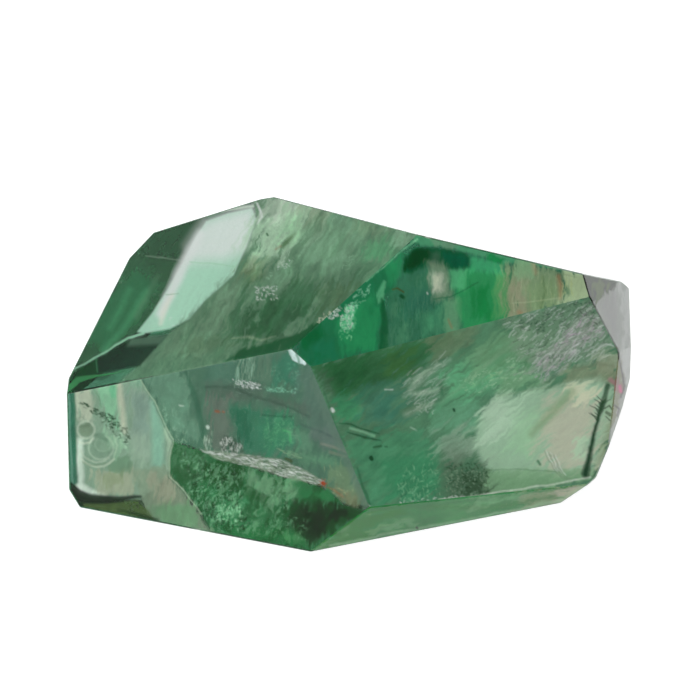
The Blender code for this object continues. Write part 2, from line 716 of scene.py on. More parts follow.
def grid_quads(rows, columns):
    """The four corners of every face of a grid, by point number."""
    index = np.arange(rows * columns).reshape(rows, columns)
    quads = np.stack([index[:-1, :-1], index[1:, :-1], index[1:, 1:], index[:-1, 1:]], axis=-1)
    return quads.reshape(-1, 4)


def film_data(name, places, quads, tint, cover):
    """A mesh of some faces of a grid, with the tint and cover of every point."""
    used = np.unique(quads)
    order = np.full(len(places), -1)
    order[used] = np.arange(len(used))
    data = bpy.data.meshes.new(name)
    data.from_pydata(places[used].tolist(), [], order[quads].tolist())
    tint_layer = data.attributes.new("tint", "FLOAT_COLOR", "POINT")
    tint_layer.data.foreach_set("color", np.c_[tint[used], np.ones(len(used))].ravel())
    cover_layer = data.attributes.new("cover", "FLOAT", "POINT")
    cover_layer.data.foreach_set("value", cover[used])
    return data


def hang_film(name, data, cover):
    """Put a film in the stone."""
    veil = bpy.data.objects.new(name, data)
    bpy.context.scene.collection.objects.link(veil)
    data.materials.append(veil_film)
    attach(veil, "root")
    print(name, len(data.polygons), "faces, mean cover", round(float(cover.mean()), 2))


print("a film of two by two faces has corners", grid_quads(3, 3).tolist())

# %% Trim a film and hang it
def trim(data, others):
    """Cut a film along the sheets under the other flats."""
    mesh = bmesh.new()
    mesh.from_mesh(data)
    for other in others:
        bmesh.ops.bisect_plane(
            mesh,
            geom=mesh.verts[:] + mesh.edges[:] + mesh.faces[:],
            dist=TOUCH,
            plane_co=other["normal"] * (other["offset"] - VEIL_DEPTH),
            plane_no=other["normal"],
            clear_outer=True,
        )
    mesh.to_mesh(data)
    mesh.free()


def hang(sheet, name, flat, places):
    """Hang a painted sheet under a flat, trimmed where its neighbours' sheets begin."""
    others = [other for other in flats if other is not flat]
    inside = np.ones(len(places), bool)
    for other in others:
        inside &= places @ other["normal"] < other["offset"] - VEIL_DEPTH + TRIM_SLACK
    quads = grid_quads(*sheet.cover.shape)
    quads = quads[inside[quads].any(axis=1)]
    tint = sheet.tint.reshape(-1, 3).clip(0, 1)
    data = film_data(name, places, quads, tint, sheet.cover.ravel().clip(0, 1))
    trim(data, others)
    hang_film(name, data, sheet.cover)


def front_sheet(shown, corners, grain, seed):
    """A sheet for a flat that the photograph shows, in picture points."""
    corners = np.asarray(corners, float)
    low = corners.min(axis=0) - SHEET_MARGIN
    high = corners.max(axis=0) + SHEET_MARGIN
    return Sheet(low, high, FINE_STEP, shown, grain, seed)


def hang_front(sheet, name):
    """Hang a painted sheet under the flat of that name."""
    flat = flat_at(*PROBES[name])
    points = np.stack([sheet.x.ravel(), sheet.y.ravel()], axis=1)
    hang(sheet, "veil_" + name, flat, seen_at(flat, points, VEIL_DEPTH))


SHEET_MARGIN = 8.0
print("a sheet reaches", SHEET_MARGIN, "picture points past its flat")

# %% [markdown]
# ## Clouds that run through the stone
#
# The photograph shows the front of the stone only. The veils in it do not stop at an edge, though:
# growth bands, healed cracks and fibres cut straight through the crystal and come out on every
# side. So the flats that are hidden in the photograph take their paint from clouds, bands and
# cracks that are laid out in space. Where two flats meet, a band goes round the corner as it would
# in the real stone.

# %% Clouds in space
SPACE_TABLE = 24
FIBRE_WAY = np.array([0.62, -0.30, 0.72])
BAND_WAY = np.array([0.80, 0.36, 0.48])


def unit(direction):
    """The same direction with length one."""
    direction = np.asarray(direction, float)
    return direction / np.linalg.norm(direction)


def cloud_in_space(places, size, seed, octaves=4):
    """Soft random clouds in space, from 0 to 1, of a size in metres."""
    source = np.random.default_rng(seed)
    where = places / size
    total = np.zeros(len(places))
    weight = 1.0
    weights = 0.0
    for _ in range(octaves):
        table = source.random((SPACE_TABLE,) * 3)
        spot = where + SPACE_TABLE * source.random(3)
        low = np.floor(spot).astype(int)
        share = smooth(0, 1, spot - low)
        for corner in np.ndindex(2, 2, 2):
            cell = (low + corner) % SPACE_TABLE
            part = np.where(corner, share, 1 - share).prod(axis=1)
            total += weight * part * table[cell[:, 0], cell[:, 1], cell[:, 2]]
        weights += weight
        weight *= OCTAVE_WEIGHT
        where = where * OCTAVE_SCALE
    return total / weights


def stretched(places, way, amount):
    """Places squeezed along a direction, so that clouds in them are drawn out along it."""
    way = unit(way)
    along = places @ way
    return places - np.outer(along * (1 - 1 / amount), way)


# Every kind of cloud in the crystal: its size in metres, its seed and its octaves.
SPACE_CLOUDS = {
    "warp": (0.020, 21, 2),
    "band": (0.0085, 22, 3),
    "milk": (0.014, 23, 5),
    "moss": (0.011, 24, 5),
    "fibre": (0.0017, 25, 4),
    "threads": (0.0008, 26, 3),
    "broken": (0.0035, 31, 3),
    "bubbles": (0.0065, 41, 5),
    "grit": (0.0028, 42, 2),
}


def crystal_cloud(name, places):
    """One of the clouds in the crystal, at some places."""
    size, seed, octaves = SPACE_CLOUDS[name]
    return cloud_in_space(places, size, seed, octaves)


print("milk at the middle of the base:", crystal_cloud("milk", np.zeros((1, 3))).round(2))

# %% [markdown]
# ## Healed cracks
#
# A crack that healed while the crystal grew is a gently curved surface dotted with bubbles. A few
# of them run right through this stone. Where one meets a polished flat it shows as a fine pale
# line.

# %% The cracks
MILLIMETRE = 0.001
CRACK_BEND_SIZE = 0.016
CRACK_SEED = 700
# Each crack: name, way it faces, distance from the stone's middle in mm, how much it waves in mm.
CRACKS = [
    ("long_crack", (0.30, 0.86, 0.42), 4.0, 3.0),
    ("steep_crack", (0.92, -0.18, -0.34), -9.0, 2.4),
    ("cross_crack", (0.78, 0.30, 0.55), 15.0, 2.0),
    ("low_crack", (-0.25, 0.30, 0.92), -7.0, 2.6),
]
stone_middle = (np.array(cad_low) + np.array(cad_high)) / 2


def crack_gap(places, crack):
    """How far each place lies from a crack, in metres."""
    name, way, distance, wave = crack
    bend = 2 * cloud_in_space(places, CRACK_BEND_SIZE, CRACK_SEED + len(name), 2) - 1
    return (places - stone_middle) @ unit(way) - MILLIMETRE * (distance - wave * bend)


print(len(CRACKS), "healed cracks")

# %% [markdown]
# ## The flats that the photograph hides
#
# Each hidden flat gets a sheet of the same kind. Its paint is read from the clouds, bands and
# cracks at the place of every point, so the back, the underside and the ends belong to the same
# crystal.

# %% Sheets for the hidden flats
POINT = VIEW_DISTANCE * SENSOR / (LENS * PICTURE)
SIDE_STEP = 2.2
SIDE_MARGIN = 4
SIDE_GRAIN = 40.0
STEEP = 0.9


def flat_axes(flat):
    """Directions across and up a flat."""
    normal = flat["normal"]
    upright = np.array([0.0, 0.0, 1.0])
    if abs(normal @ upright) > STEEP:
        upright = np.array([0.0, 1.0, 0.0])
    across = unit(np.cross(upright, normal))
    return across, np.cross(normal, across)


def side_places(sheet, flat):
    """Where every point of a hidden flat's sheet lies."""
    across, upward = flat_axes(flat)
    start = flat["middle"] - flat["normal"] * VEIL_DEPTH
    return start + POINT * (np.outer(sheet.x.ravel(), across) - np.outer(sheet.y.ravel(), upward))


def side_sheet(flat, seed):
    """A sheet for a hidden flat, with points of the same size as the photograph's."""
    across, upward = flat_axes(flat)
    local = (flat["corners"] - flat["middle"]) / POINT
    low = (local @ across).min() - SIDE_MARGIN, -(local @ upward).max() - SIDE_MARGIN
    high = (local @ across).max() + SIDE_MARGIN, -(local @ upward).min() + SIDE_MARGIN
    return Sheet(low, high, SIDE_STEP, "side", SIDE_GRAIN, seed)


print("one picture point is", round(1000 * POINT, 4), "mm on the stone")

# %% Paint from space
WARP = 0.010
FIBRE_DRAW = 7.0
FROST_FROM = 0.019
FROST_TO = 0.034
SIDE_GREEN = rgb(60, 132, 92)
SIDE_MILK = rgb(140, 168, 142)
SIDE_MOSS = rgb(36, 96, 60)
SIDE_FIBRE = rgb(176, 196, 174)
SIDE_THREAD = rgb(52, 100, 70)
SIDE_FROST = rgb(156, 164, 156)
CRACK_LINE = rgb(196, 208, 192)
CRACK_GLOW = rgb(126, 154, 130)
# How far from a crack its fine line and its glow begin to fade and are gone, in metres.
LINE_FADE = (0.00010, 0.00034)
GLOW_FADE = (0.0003, 0.0016)


def lay_field(sheet, colour, share):
    """Lay a colour over a whole sheet, where share is a value for every point."""
    everywhere = (slice(None), slice(None))
    sheet.lay(everywhere, colour, share.reshape(sheet.cover.shape))


def paint_from_space(sheet, places):
    """Growth bands, milk, moss, fibres and cracks, as they lie in the crystal."""
    warp = WARP * (crystal_cloud("warp", places) - 0.5)
    along = places @ unit(BAND_WAY) + warp
    line = np.stack([along, np.zeros_like(along), np.zeros_like(along)], axis=1)
    band = crystal_cloud("band", line)
    milk = crystal_cloud("milk", places)
    moss = crystal_cloud("moss", places)
    drawn = stretched(places, FIBRE_WAY, FIBRE_DRAW)
    fibre = smooth(0.56, 0.72, crystal_cloud("fibre", drawn)) * smooth(0.38, 0.60, milk)
    threads = crystal_cloud("threads", drawn)
    ground_end = smooth(FROST_FROM, FROST_TO, places[:, 0]) * smooth(0.30, 0.55, milk)
    broken = smooth(0.35, 0.60, crystal_cloud("broken", places))
    lay_field(sheet, SIDE_GREEN, 0.30 + 0.30 * smooth(0.35, 0.65, band))
    lay_field(sheet, SIDE_MILK, 0.60 * smooth(0.50, 0.68, milk))
    lay_field(sheet, SIDE_MOSS, 0.60 * smooth(0.54, 0.66, moss))
    lay_field(sheet, SIDE_FIBRE, 0.34 * fibre)
    lay_field(sheet, SIDE_THREAD, 0.30 * smooth(0.58, 0.74, threads))
    lay_field(sheet, SIDE_FROST, 0.78 * ground_end)
    for crack in CRACKS:
        gap = np.abs(crack_gap(places, crack))
        lay_field(sheet, CRACK_LINE, 0.75 * broken * (1 - smooth(*LINE_FADE, gap)))
        lay_field(sheet, CRACK_GLOW, 0.22 * broken * (1 - smooth(*GLOW_FADE, gap)))


print("hidden flats are painted in", SIDE_GREEN.round(3))

# %% Specks on the hidden flats
RUSTY_SPECK = rgb(140, 84, 50)
DARK_SPECK = rgb(38, 66, 46)
RUSTY_EVERY = 4
SPECK_LENGTH = 2.2
SPECKS_PER_SQUARE_METRE = 30000


def specks(sheet, count):
    """Small dark and rusty specks at random places."""
    source = np.random.default_rng(sheet.seed)
    low = np.array([sheet.x.min(), sheet.y.min()])
    high = np.array([sheet.x.max(), sheet.y.max()])
    for turn in range(count):
        place = low + (high - low) * source.random(2)
        colour = RUSTY_SPECK if turn % RUSTY_EVERY == 0 else DARK_SPECK
        end = place + SPECK_LENGTH * source.random(2)
        sheet.stroke([place, end], 1.5 + 1.6 * source.random(), colour, 0.7, 1.2)


print("every", RUSTY_EVERY, "th speck is rusty")

# %% Hang the sheets on the hidden flats
SIDE_SEED = 1000
SIDE_SEED_STEP = 10
front_flats = [id(flat_at(*probe)) for probe in PROBES.values()]
hidden_flats = [flat for flat in flats if id(flat) not in front_flats]
for number, flat in enumerate(hidden_flats):
    sheet = side_sheet(flat, SIDE_SEED + SIDE_SEED_STEP * number)
    places = side_places(sheet, flat)
    paint_from_space(sheet, places)
    specks(sheet, int(flat["area"] * SPECKS_PER_SQUARE_METRE))
    hang(sheet, "veil_side_%02d" % number, flat, places)
print(len(hidden_flats), "hidden flats dressed")

# %% [markdown]
# ## Cracks inside
#
# Looking in through a clear flat, one sees the healed cracks themselves: thin curtains of bubbles,
# dense in places and gone in others. Each is a fine curved sheet that stays inside the stone.

# %% Inner curtains
CURTAIN_STEP = 0.0006
CURTAIN_REACH = 0.045
CURTAIN_SKIN = 0.0012
CURTAIN_DRAW = 3.0
BUBBLE_GREY = rgb(190, 206, 192)
SETTLING = 3


def inside_stone(places, skin):
    """Which places lie inside the stone, at least skin below every flat."""
    inside = np.ones(len(places), bool)
    for flat in flats:
        inside &= places @ flat["normal"] < flat["offset"] - skin
    return inside


def curtain(crack):
    """The sheet of bubbles along one healed crack."""
    name, way, distance, wave = crack
    way = unit(way)
    side = unit(np.cross(way, [0.0, 0.0, 1.0]))
    upward = np.cross(way, side)
    ticks = np.arange(-CURTAIN_REACH, CURTAIN_REACH, CURTAIN_STEP)
    u, v = np.meshgrid(ticks, ticks)
    places = stone_middle + MILLIMETRE * distance * way
    places = places + np.outer(u.ravel(), side) + np.outer(v.ravel(), upward)
    for _ in range(SETTLING):
        places = places - np.outer(crack_gap(places, crack), way)
    quads = grid_quads(*u.shape)
    quads = quads[inside_stone(places, CURTAIN_SKIN)[quads].all(axis=1)]
    drawn = stretched(places, FIBRE_WAY, CURTAIN_DRAW)
    bubbles = smooth(0.50, 0.72, crystal_cloud("bubbles", drawn))
    grit = smooth(0.40, 0.70, crystal_cloud("grit", places))
    cover = bubbles * (0.22 + 0.40 * grit)
    tint = np.tile(BUBBLE_GREY, (len(places), 1))
    hang_film(name, film_data(name, places, quads, tint, cover), cover)


for crack in CRACKS:
    curtain(crack)

# %% [markdown]
# ## The colours of this fluorite
#
# The stone has one green body, but its veils run through a whole family of greens, with milky
# whites, a little sand and rust, and a touch of lilac at the right. A painter would mix them on a
# palette first, and so does this notebook. A shade that is used only once is mixed in its own row.
# All are given as they should look on the finished stone.
#
# From here on every zone and line has a row of its own. The row starts with the name of what it
# paints, then come its picture points, its width or count where it has one, its colour, its cover
# and how soft and how rough it is.

# %% The palette
PEARL = rgb(212, 224, 214)
CHALK = rgb(188, 196, 186)
BONE = rgb(186, 186, 168)
FOG = rgb(162, 172, 162)
MINT = rgb(160, 206, 180)
MIST = rgb(150, 180, 154)
SAGE = rgb(124, 156, 130)
FERN = rgb(102, 138, 110)
SPRUCE = rgb(62, 102, 74)
PINE = rgb(42, 88, 54)
INK = rgb(26, 52, 38)
JADE = rgb(74, 146, 104)
DEEP = rgb(20, 92, 54)
NIGHT = rgb(4, 54, 26)
TEAL = rgb(56, 110, 86)
SAND = rgb(150, 142, 118)
COPPER = rgb(158, 110, 80)
RUST = rgb(162, 66, 38)
FROST = rgb(165, 167, 164)
MAGENTA = rgb(210, 88, 142)
print("palette ready, jade is", JADE.round(3))

# %% [markdown]
# ## The upper left flat
#
# On the left the flat looks into the dark far side of the stone; that darkness is painted shade on
# the veil, with painted gleams in it. Beside that lies a pale window, where the card shines straight
# through; its brightness is painted light on the veil. To the right hangs a milky veil, grey at the
# top and deep green at the bottom, with fine fibres that run down to the left.

# %% Upper left flat: the painted shade of the dark side and the painted light of the window
upper_left_corners = [
    (67, 393), (68, 379), (130, 256), (152, 233), (264, 198), (417, 234), (290, 349),
]
# The pale window: painted light where the card shines through the stone.
window = [
    (206, 221), (228, 213), (252, 208), (257, 221), (245, 250), (234, 275), (219, 289), (204, 302),
    (190, 319), (170, 329), (146, 333), (137, 332), (152, 313), (167, 290), (183, 262), (194, 240),
]
sheet = front_sheet("upper_left", upper_left_corners, grain=58.0, seed=100)
sheet.patches([
    # Painted shade: the dark far side of the stone seen through the flat, with a painted shadow and a
    # painted glow in it.
    ("dark side",
     [(56, 394), (60, 300), (140, 225), (224, 204), (206, 221), (194, 240), (183, 262), (167, 290),
      (152, 313), (136, 332), (98, 357), (76, 372)],
     SPRUCE, 0.66, 2.0, 0.15),
    ("brown shadow", [(136, 238), (224, 206), (204, 226), (186, 258), (150, 262)],
     rgb(48, 80, 58), 0.55, 9.0, 0.1),
    ("green glow", [(84, 340), (104, 296), (136, 268), (160, 284), (140, 322), (104, 352)],
     rgb(52, 122, 84), 0.50, 11.0, 0.1),
    ("teal corner", [(204, 214), (222, 208), (226, 212), (208, 220)], DEEP, 0.85, 1.2, 0.0),
], wave=0.0)
sheet.strokes([
    # Painted highlights: gleams in the dark far side.
    ("long gleam", [(146, 292), (122, 332), (104, 350)], 6.0, JADE * 1.2, 0.45, 4.0, 0.2),
    ("short gleam", [(130, 290), (110, 328)], 5.0, JADE * 1.2, 0.40, 4.0, 0.2),
    ("faint gleam", [(158, 276), (136, 316)], 5.0, FERN, 0.30, 4.0, 0.2),
    ("hairline", [(146, 256), (168, 259), (186, 262), (216, 264)], 1.1, FOG, 0.32, 0.8, 0.1),
])
sheet.patches([
    # Painted light: the window where the card shines through.
    ("window", window, rgb(168, 208, 184), 0.88, 1.3, 0.04),
    ("cloudy top",
     [(204, 221), (252, 206), (257, 224), (248, 250), (224, 260), (190, 262), (188, 246)],
     rgb(206, 215, 207), 0.82, 11.0, 0.05),
], wave=0.0)
sheet.strokes([
    ("white side", [(200, 234), (180, 272), (160, 314)],
     [8.0, 11.0, 8.0], rgb(212, 215, 208), 0.85, 4.0, 0.05),
    ("rosy side", [(172, 294), (163, 312), (160, 324)],
     [3.0, 6.0, 4.0], rgb(206, 200, 192), 0.65, 2.4, 0.0),
    ("tick", [(166, 294), (178, 293)], 1.0, SAGE, 0.65, 0.7, 0.0),
    ("hairline", [(190, 262), (214, 263), (234, 266)], 1.0, rgb(140, 180, 152), 0.60, 0.8, 0.0),
    ("upper rim", [(222, 211), (253, 206)], 2.6, CHALK * 1.05, 0.80, 1.0, 0.0),
])
sheet.tell("window painted")

# %% [markdown]
# The milky veil is laid from its lightest cloud at the crest down to the deep green belly. Its
# fibres run down to the left, so the clouds that break it up are drawn out that way too.

# %% Upper left flat: the milky side
milky_side = [
    (254, 198), (284, 190), (430, 232), (292, 352), (120, 382), (140, 364), (152, 352), (168, 334),
    (190, 320), (204, 303), (219, 290), (235, 275), (246, 250), (257, 222),
]
sheet.patch(milky_side, FERN * 0.92, 0.84, 1.4, 0.15, 0.0)
sheet.patches([
    ("light crest", [(256, 196), (300, 190), (330, 206), (304, 240), (264, 264), (246, 256)],
     rgb(164, 186, 164), 0.85, 12.0, 0.25),
    ("grey crest", [(256, 194), (290, 190), (304, 208), (270, 222)],
     rgb(184, 192, 180), 0.80, 7.0, 0.15),
    ("green column", [(284, 208), (303, 210), (302, 240), (284, 244)],
     rgb(146, 190, 152), 0.60, 7.0, 0.3),
    ("pale column", [(258, 222), (268, 220), (262, 250), (246, 270)],
     rgb(160, 188, 162), 0.60, 4.0, 0.3),
    ("brown cloud", [(305, 206), (330, 210), (328, 230), (308, 224)], SAND * 0.85, 0.50, 7.0, 0.3),
    ("grey shoulder", [(352, 214), (396, 222), (376, 238), (350, 234)],
     rgb(118, 138, 112), 0.65, 8.0, 0.3),
    ("middle light", [(316, 226), (356, 232), (340, 262), (306, 262)],
     rgb(112, 150, 120), 0.55, 10.0, 0.35),
    ("green by the seam", [(368, 240), (404, 238), (388, 256), (362, 262)],
     rgb(84, 146, 106), 0.70, 5.0, 0.2),
    ("pale end of the seam", [(398, 230), (430, 233), (408, 248), (392, 246)],
     MIST * 0.9, 0.65, 4.0, 0.2),
    ("brown band", [(242, 262), (266, 258), (262, 280), (242, 286)],
     rgb(116, 130, 94), 0.65, 6.0, 0.3),
    ("grey band",
     [(236, 276), (250, 280), (230, 326), (184, 352), (140, 366), (168, 336), (206, 302)],
     rgb(98, 126, 102), 0.70, 4.0, 0.2),
    ("soft shadow", [(352, 262), (376, 256), (370, 276), (352, 280)], SPRUCE * 1.1, 0.60, 6.0, 0.3),
    ("dark belly", [(250, 284), (300, 280), (350, 286), (312, 326), (262, 342), (224, 336)],
     rgb(52, 96, 64), 0.88, 9.0, 0.2),
    ("darkest green", [(258, 304), (308, 298), (322, 312), (286, 332), (246, 334)],
     rgb(38, 84, 52), 0.78, 8.0, 0.2),
    ("brown belly", [(318, 288), (352, 282), (336, 306), (314, 318)],
     rgb(86, 106, 80), 0.65, 7.0, 0.25),
    ("low brown", [(180, 356), (196, 340), (230, 334), (232, 346), (204, 356)],
     rgb(80, 104, 78), 0.60, 4.0, 0.2),
])
crest_side = [(300, 205), (400, 232), (360, 268), (300, 280)]
sheet.drift(SAGE, 0.35, 26.0, 0.50, 0.66, 60.0, 2.4, crest_side)
sheet.drift(SPRUCE, 0.40, 20.0, 0.54, 0.70, 62.0, 2.6, milky_side)
sheet.drift(SAGE, 0.34, 12.0, 0.56, 0.70, 66.0, 3.0, milky_side)
sheet.mottle(0.12, 2.6, 62.0, 6.0, milky_side)
sheet.mottle(0.14, 8.0, 60.0, 2.2, milky_side)
sheet.tell("milky side painted")

# %% [markdown]
# The dark triangle at the lower left is painted shade: the underside, seen through two flats, is
# painted in as a near-black veil. Small marks follow: a cluster of glitter painted as bright glints,
# fine fibres, and cream flecks at the seam. They are laid last, so nothing covers them.

# %% Upper left flat: marks and edges
# The dark triangle of painted shade: the underside seen through two flats.
painted_shade_wedge = [(66, 392), (76, 373), (98, 358), (134, 339), (168, 335), (152, 352), (140, 366), (98, 374)]
sheet.patches([
    ("painted_shade_wedge", painted_shade_wedge, INK, 0.94, 1.4, 0.0),
    ("light top of the wedge", [(130, 338), (168, 335), (160, 344), (128, 346)],
     rgb(82, 112, 92), 0.75, 3.0, 0.0),
    ("green end of the wedge", [(66, 388), (80, 366), (97, 358), (98, 373), (74, 382)],
     rgb(12, 66, 34), 0.80, 2.4, 0.0),
], wave=0.0)
green_tongue = [
    (224, 362), (240, 349), (272, 342), (298, 332), (318, 321), (324, 326), (314, 346), (292, 354),
]
sheet.patch(green_tongue, rgb(14, 78, 44), 0.96, 2.2, 0.05, 0.4)
sheet.strokes([
    # Painted highlight along the upper edge of the dark triangle.
    ("pale border", [(144, 333), (128, 338), (98, 356), (70, 372)],
     [3.0, 2.0, 1.6, 1.4], MINT * 0.9, 0.80, 0.8, 0.0),
    ("line on the wedge", [(96, 358), (97, 372)], 1.1, JADE * 0.7, 0.65, 0.7, 0.0),
    ("green foot", [(66, 391), (78, 380), (98, 376), (126, 371)],
     [5.0, 6.0, 3.0, 1.0], rgb(58, 130, 80), 0.85, 1.0, 0.0),
    ("cream streaks", [(232, 338), (248, 337), (262, 340), (276, 336)],
     [1.0, 2.4, 1.8, 0.8], rgb(150, 170, 142), 0.55, 1.6, 0.5),
    ("seam nick", [(257, 203), (261, 211), (262, 217), (258, 224)],
     [1.6, 2.4, 3.0, 1.0], PEARL, 0.80, 0.9, 0.2),
    ("window border", [(257, 222), (245, 252), (234, 276), (219, 290), (204, 303)],
     1.1, FERN, 0.50, 0.9, 0.1),
    ("olive mark", [(284, 246), (289, 240), (295, 233)],
     [4.0, 6.0, 3.0], rgb(76, 102, 66), 0.70, 2.4, 0.4),
    ("rusty mark", [(276, 249), (281, 246)], 2.0, COPPER * 0.6, 0.55, 1.4, 0.3),
    ("dark speck", [(267, 234), (268, 236)], 2.0, PINE, 0.85, 0.7, 0.0),
    ("fine shadow", [(249, 278), (240, 306), (228, 334)], [1.4, 2.4, 1.2], SPRUCE, 0.40, 1.6, 0.2),
])
sheet.sprinkle([
    # Painted highlights: the glitter is bright glints on tiny cleavages.
    ("glitter", [(254, 286), (277, 286), (278, 300), (256, 300)], 80, 1.4, 0.7, PEARL, 0.95, 20, 80),
    ("upper glitter", [(278, 258), (290, 258), (289, 270), (278, 270)],
     24, 1.1, 0.9, PEARL, 0.85, 40, 60),
    ("side glitter", [(266, 272), (272, 272), (272, 280), (266, 280)],
     8, 1.6, 0.9, MIST, 0.70, 40, 60),
    ("feathery marks", [(336, 254), (354, 252), (352, 272), (338, 270)],
     20, 4.0, 0.8, MIST, 0.50, 40, 60),
    ("flecks in the window", [(168, 318), (182, 316), (180, 326), (166, 328)],
     8, 2.6, 0.9, PEARL, 0.70, 10, 40),
    ("light fibres", milky_side, 220, 8.0, 0.8, SAGE * 1.15, 0.26, 62, 16),
    ("dark fibres", milky_side, 170, 7.0, 0.8, SPRUCE * 0.8, 0.26, 62, 16),
    ("cream flecks at the seam", [(316, 326), (320, 315), (338, 306), (339, 314), (326, 326)],
     60, 2.0, 1.2, BONE * 1.15, 0.85, 45, 60),
])
hang_front(sheet, "upper_left")

# %% [markdown]
# ## The upper right flat
#
# The clearest part of the stone, and the greenest. Emerald lies on both sides of a teal cloud with
# a dark arch over it. Towards the right end the green washes out into sand, with stripes of rust.

# %% Upper right flat: emerald and teal
upper_right_corners = [(290, 349), (417, 234), (583, 274), (590, 296), (310, 367)]
left_emerald = [(296, 372), (300, 340), (372, 272), (402, 256), (394, 288), (383, 300), (379, 350)]
teal_cloud = [(392, 296), (404, 268), (440, 270), (452, 300), (452, 334), (388, 348)]
sheet = front_sheet("upper_right", upper_right_corners, grain=86.0, seed=200)
sheet.patches([
    ("ground", [(280, 362), (300, 330), (430, 225), (600, 262), (600, 300), (306, 374)],
     TEAL, 0.66, 2.0, 0.1),
    ("left emerald", left_emerald, rgb(30, 108, 70), 0.78, 4.0, 0.05),
    ("bright emerald", [(338, 322), (356, 304), (374, 296), (380, 308), (378, 349), (342, 356)],
     rgb(44, 134, 86), 0.72, 6.0, 0.05),
    ("deep corner", [(298, 338), (316, 322), (322, 336), (306, 350)],
     rgb(8, 88, 48), 0.80, 4.0, 0.05),
    ("blue corner", [(312, 344), (334, 340), (336, 360), (310, 368)],
     rgb(30, 106, 78), 0.45, 6.0, 0.05),
    ("upper emerald", [(384, 262), (402, 254), (402, 276), (390, 286)],
     rgb(46, 136, 88), 0.60, 4.0, 0.05),
    ("pale splinter", [(376, 296), (384, 280), (386, 282), (384, 300), (378, 304)],
     rgb(92, 166, 124), 0.75, 1.2, 0.0),
    ("teal cloud", teal_cloud, rgb(56, 108, 82), 0.66, 6.0, 0.15),
    ("blue heart", [(406, 290), (436, 290), (436, 312), (408, 314)],
     rgb(48, 100, 84), 0.60, 7.0, 0.1),
    ("light foot", [(420, 312), (444, 306), (446, 332), (424, 338)],
     rgb(76, 142, 106), 0.60, 6.0, 0.25),
    ("right emerald", [(464, 268), (506, 272), (508, 322), (464, 334), (458, 318), (454, 292)],
     rgb(48, 138, 84), 0.78, 4.0, 0.05),
    ("right emerald heart", [(473, 288), (490, 284), (490, 322), (474, 316)],
     rgb(20, 116, 60), 0.75, 6.0, 0.05),
    ("spring edge", [(494, 272), (512, 270), (512, 314), (497, 318)],
     rgb(96, 150, 98), 0.70, 5.0, 0.05),
    # Painted light: a lighter band along the top edge of the flat.
    ("upper band",
     [(410, 226), (604, 264), (600, 276), (504, 262), (470, 254), (440, 247), (412, 243)],
     rgb(80, 148, 110), 0.76, 2.0, 0.1),
    ("grey start of the band", [(430, 238), (458, 243), (456, 250), (434, 246)],
     rgb(112, 142, 118), 0.70, 3.0, 0.1),
    ("bright below the band", [(469, 256), (504, 262), (502, 276), (470, 272)],
     rgb(66, 162, 112), 0.65, 4.0, 0.05),
    ("green chip", [(488, 254), (504, 258), (502, 263), (488, 260)],
     rgb(20, 118, 62), 0.85, 1.6, 0.05),
], wave=0.5)
sheet.tell("emerald painted")

# %% [markdown]
# The dark arch is painted shade: a back flat that turns the light away, painted in as a dark veil,
# with a cloudy column under it. A bruise, where the stone was once knocked, glitters at the left.
# It is made of flecks, as the real one is of tiny cleavages, and its glitter and soft glow are
# painted in as bright glints and a painted glow.

# %% Upper right flat: the painted shade of the arch, and its column
sheet.patches([
    # Painted shade: the dark arch, where a back flat turns the light away.
    ("arch",
     [(402, 272), (404, 262), (408, 255), (416, 249), (426, 246), (462, 252), (470, 257), (470, 268),
      (456, 270), (442, 268), (430, 266), (418, 270), (408, 274)],
     rgb(16, 82, 50), 0.90, 2.4, 0.0),
    ("left of the arch",
     [(403, 271), (405, 262), (409, 255), (417, 250), (426, 247), (432, 252), (428, 261), (416, 267)],
     rgb(6, 62, 32), 0.92, 3.0, 0.0),
    ("dusty middle", [(430, 251), (440, 252), (442, 266), (430, 266)],
     rgb(66, 94, 76), 0.60, 4.0, 0.1),
    ("right of the arch", [(442, 252), (462, 254), (469, 258), (468, 266), (456, 268), (446, 266)],
     rgb(12, 84, 60), 0.80, 3.0, 0.0),
    ("column", [(428, 262), (447, 264), (452, 298), (433, 300)], rgb(120, 138, 116), 0.72, 5.0, 0.15),
    ("light in the column", [(431, 274), (441, 274), (442, 290), (432, 292)],
     rgb(188, 188, 172), 0.78, 5.0, 0.1),
    ("mint beside the column", [(449, 270), (468, 270), (464, 290), (450, 288)],
     rgb(82, 160, 114), 0.75, 3.0, 0.1),
    ("lower column", [(443, 300), (457, 300), (460, 333), (446, 335)],
     rgb(104, 148, 114), 0.66, 4.0, 0.2),
], wave=0.4)
sheet.strokes([
    ("dark fold", [(382, 300), (385, 322), (384, 350)],
     [3.0, 7.0, 9.0], rgb(20, 80, 46), 0.85, 1.6, 0.1),
    ("thread", [(434, 299), (451, 297), (465, 290), (478, 283)],
     1.1, rgb(34, 88, 58), 0.75, 0.7, 0.0),
    ("rust in the column", [(449, 320), (452, 328)], 2.0, COPPER * 0.8, 0.50, 1.4, 0.3),
    # Painted highlight along the edge between the two upper flats.
    ("seam light", [(417, 239), (398, 254), (382, 269), (366, 282)],
     [1.8, 1.0, 1.0, 0.8], rgb(132, 186, 150), 0.62, 0.8, 0.5),
    ("brown hook", [(393, 289), (397, 288), (403, 292)], 1.7, rgb(66, 66, 30), 0.80, 0.9, 0.0),
    ("dark speck", [(401, 295.6), (403, 297)], 3.2, rgb(8, 66, 38), 0.88, 0.8, 0.0),
    ("spark", [(427, 292.6), (427.6, 294)], 1.2, PEARL, 0.65, 0.6, 0.0),
    ("top shadow", [(424, 236), (500, 253), (578, 270)], 1.2, rgb(36, 88, 60), 0.60, 0.9, 0.2),
])
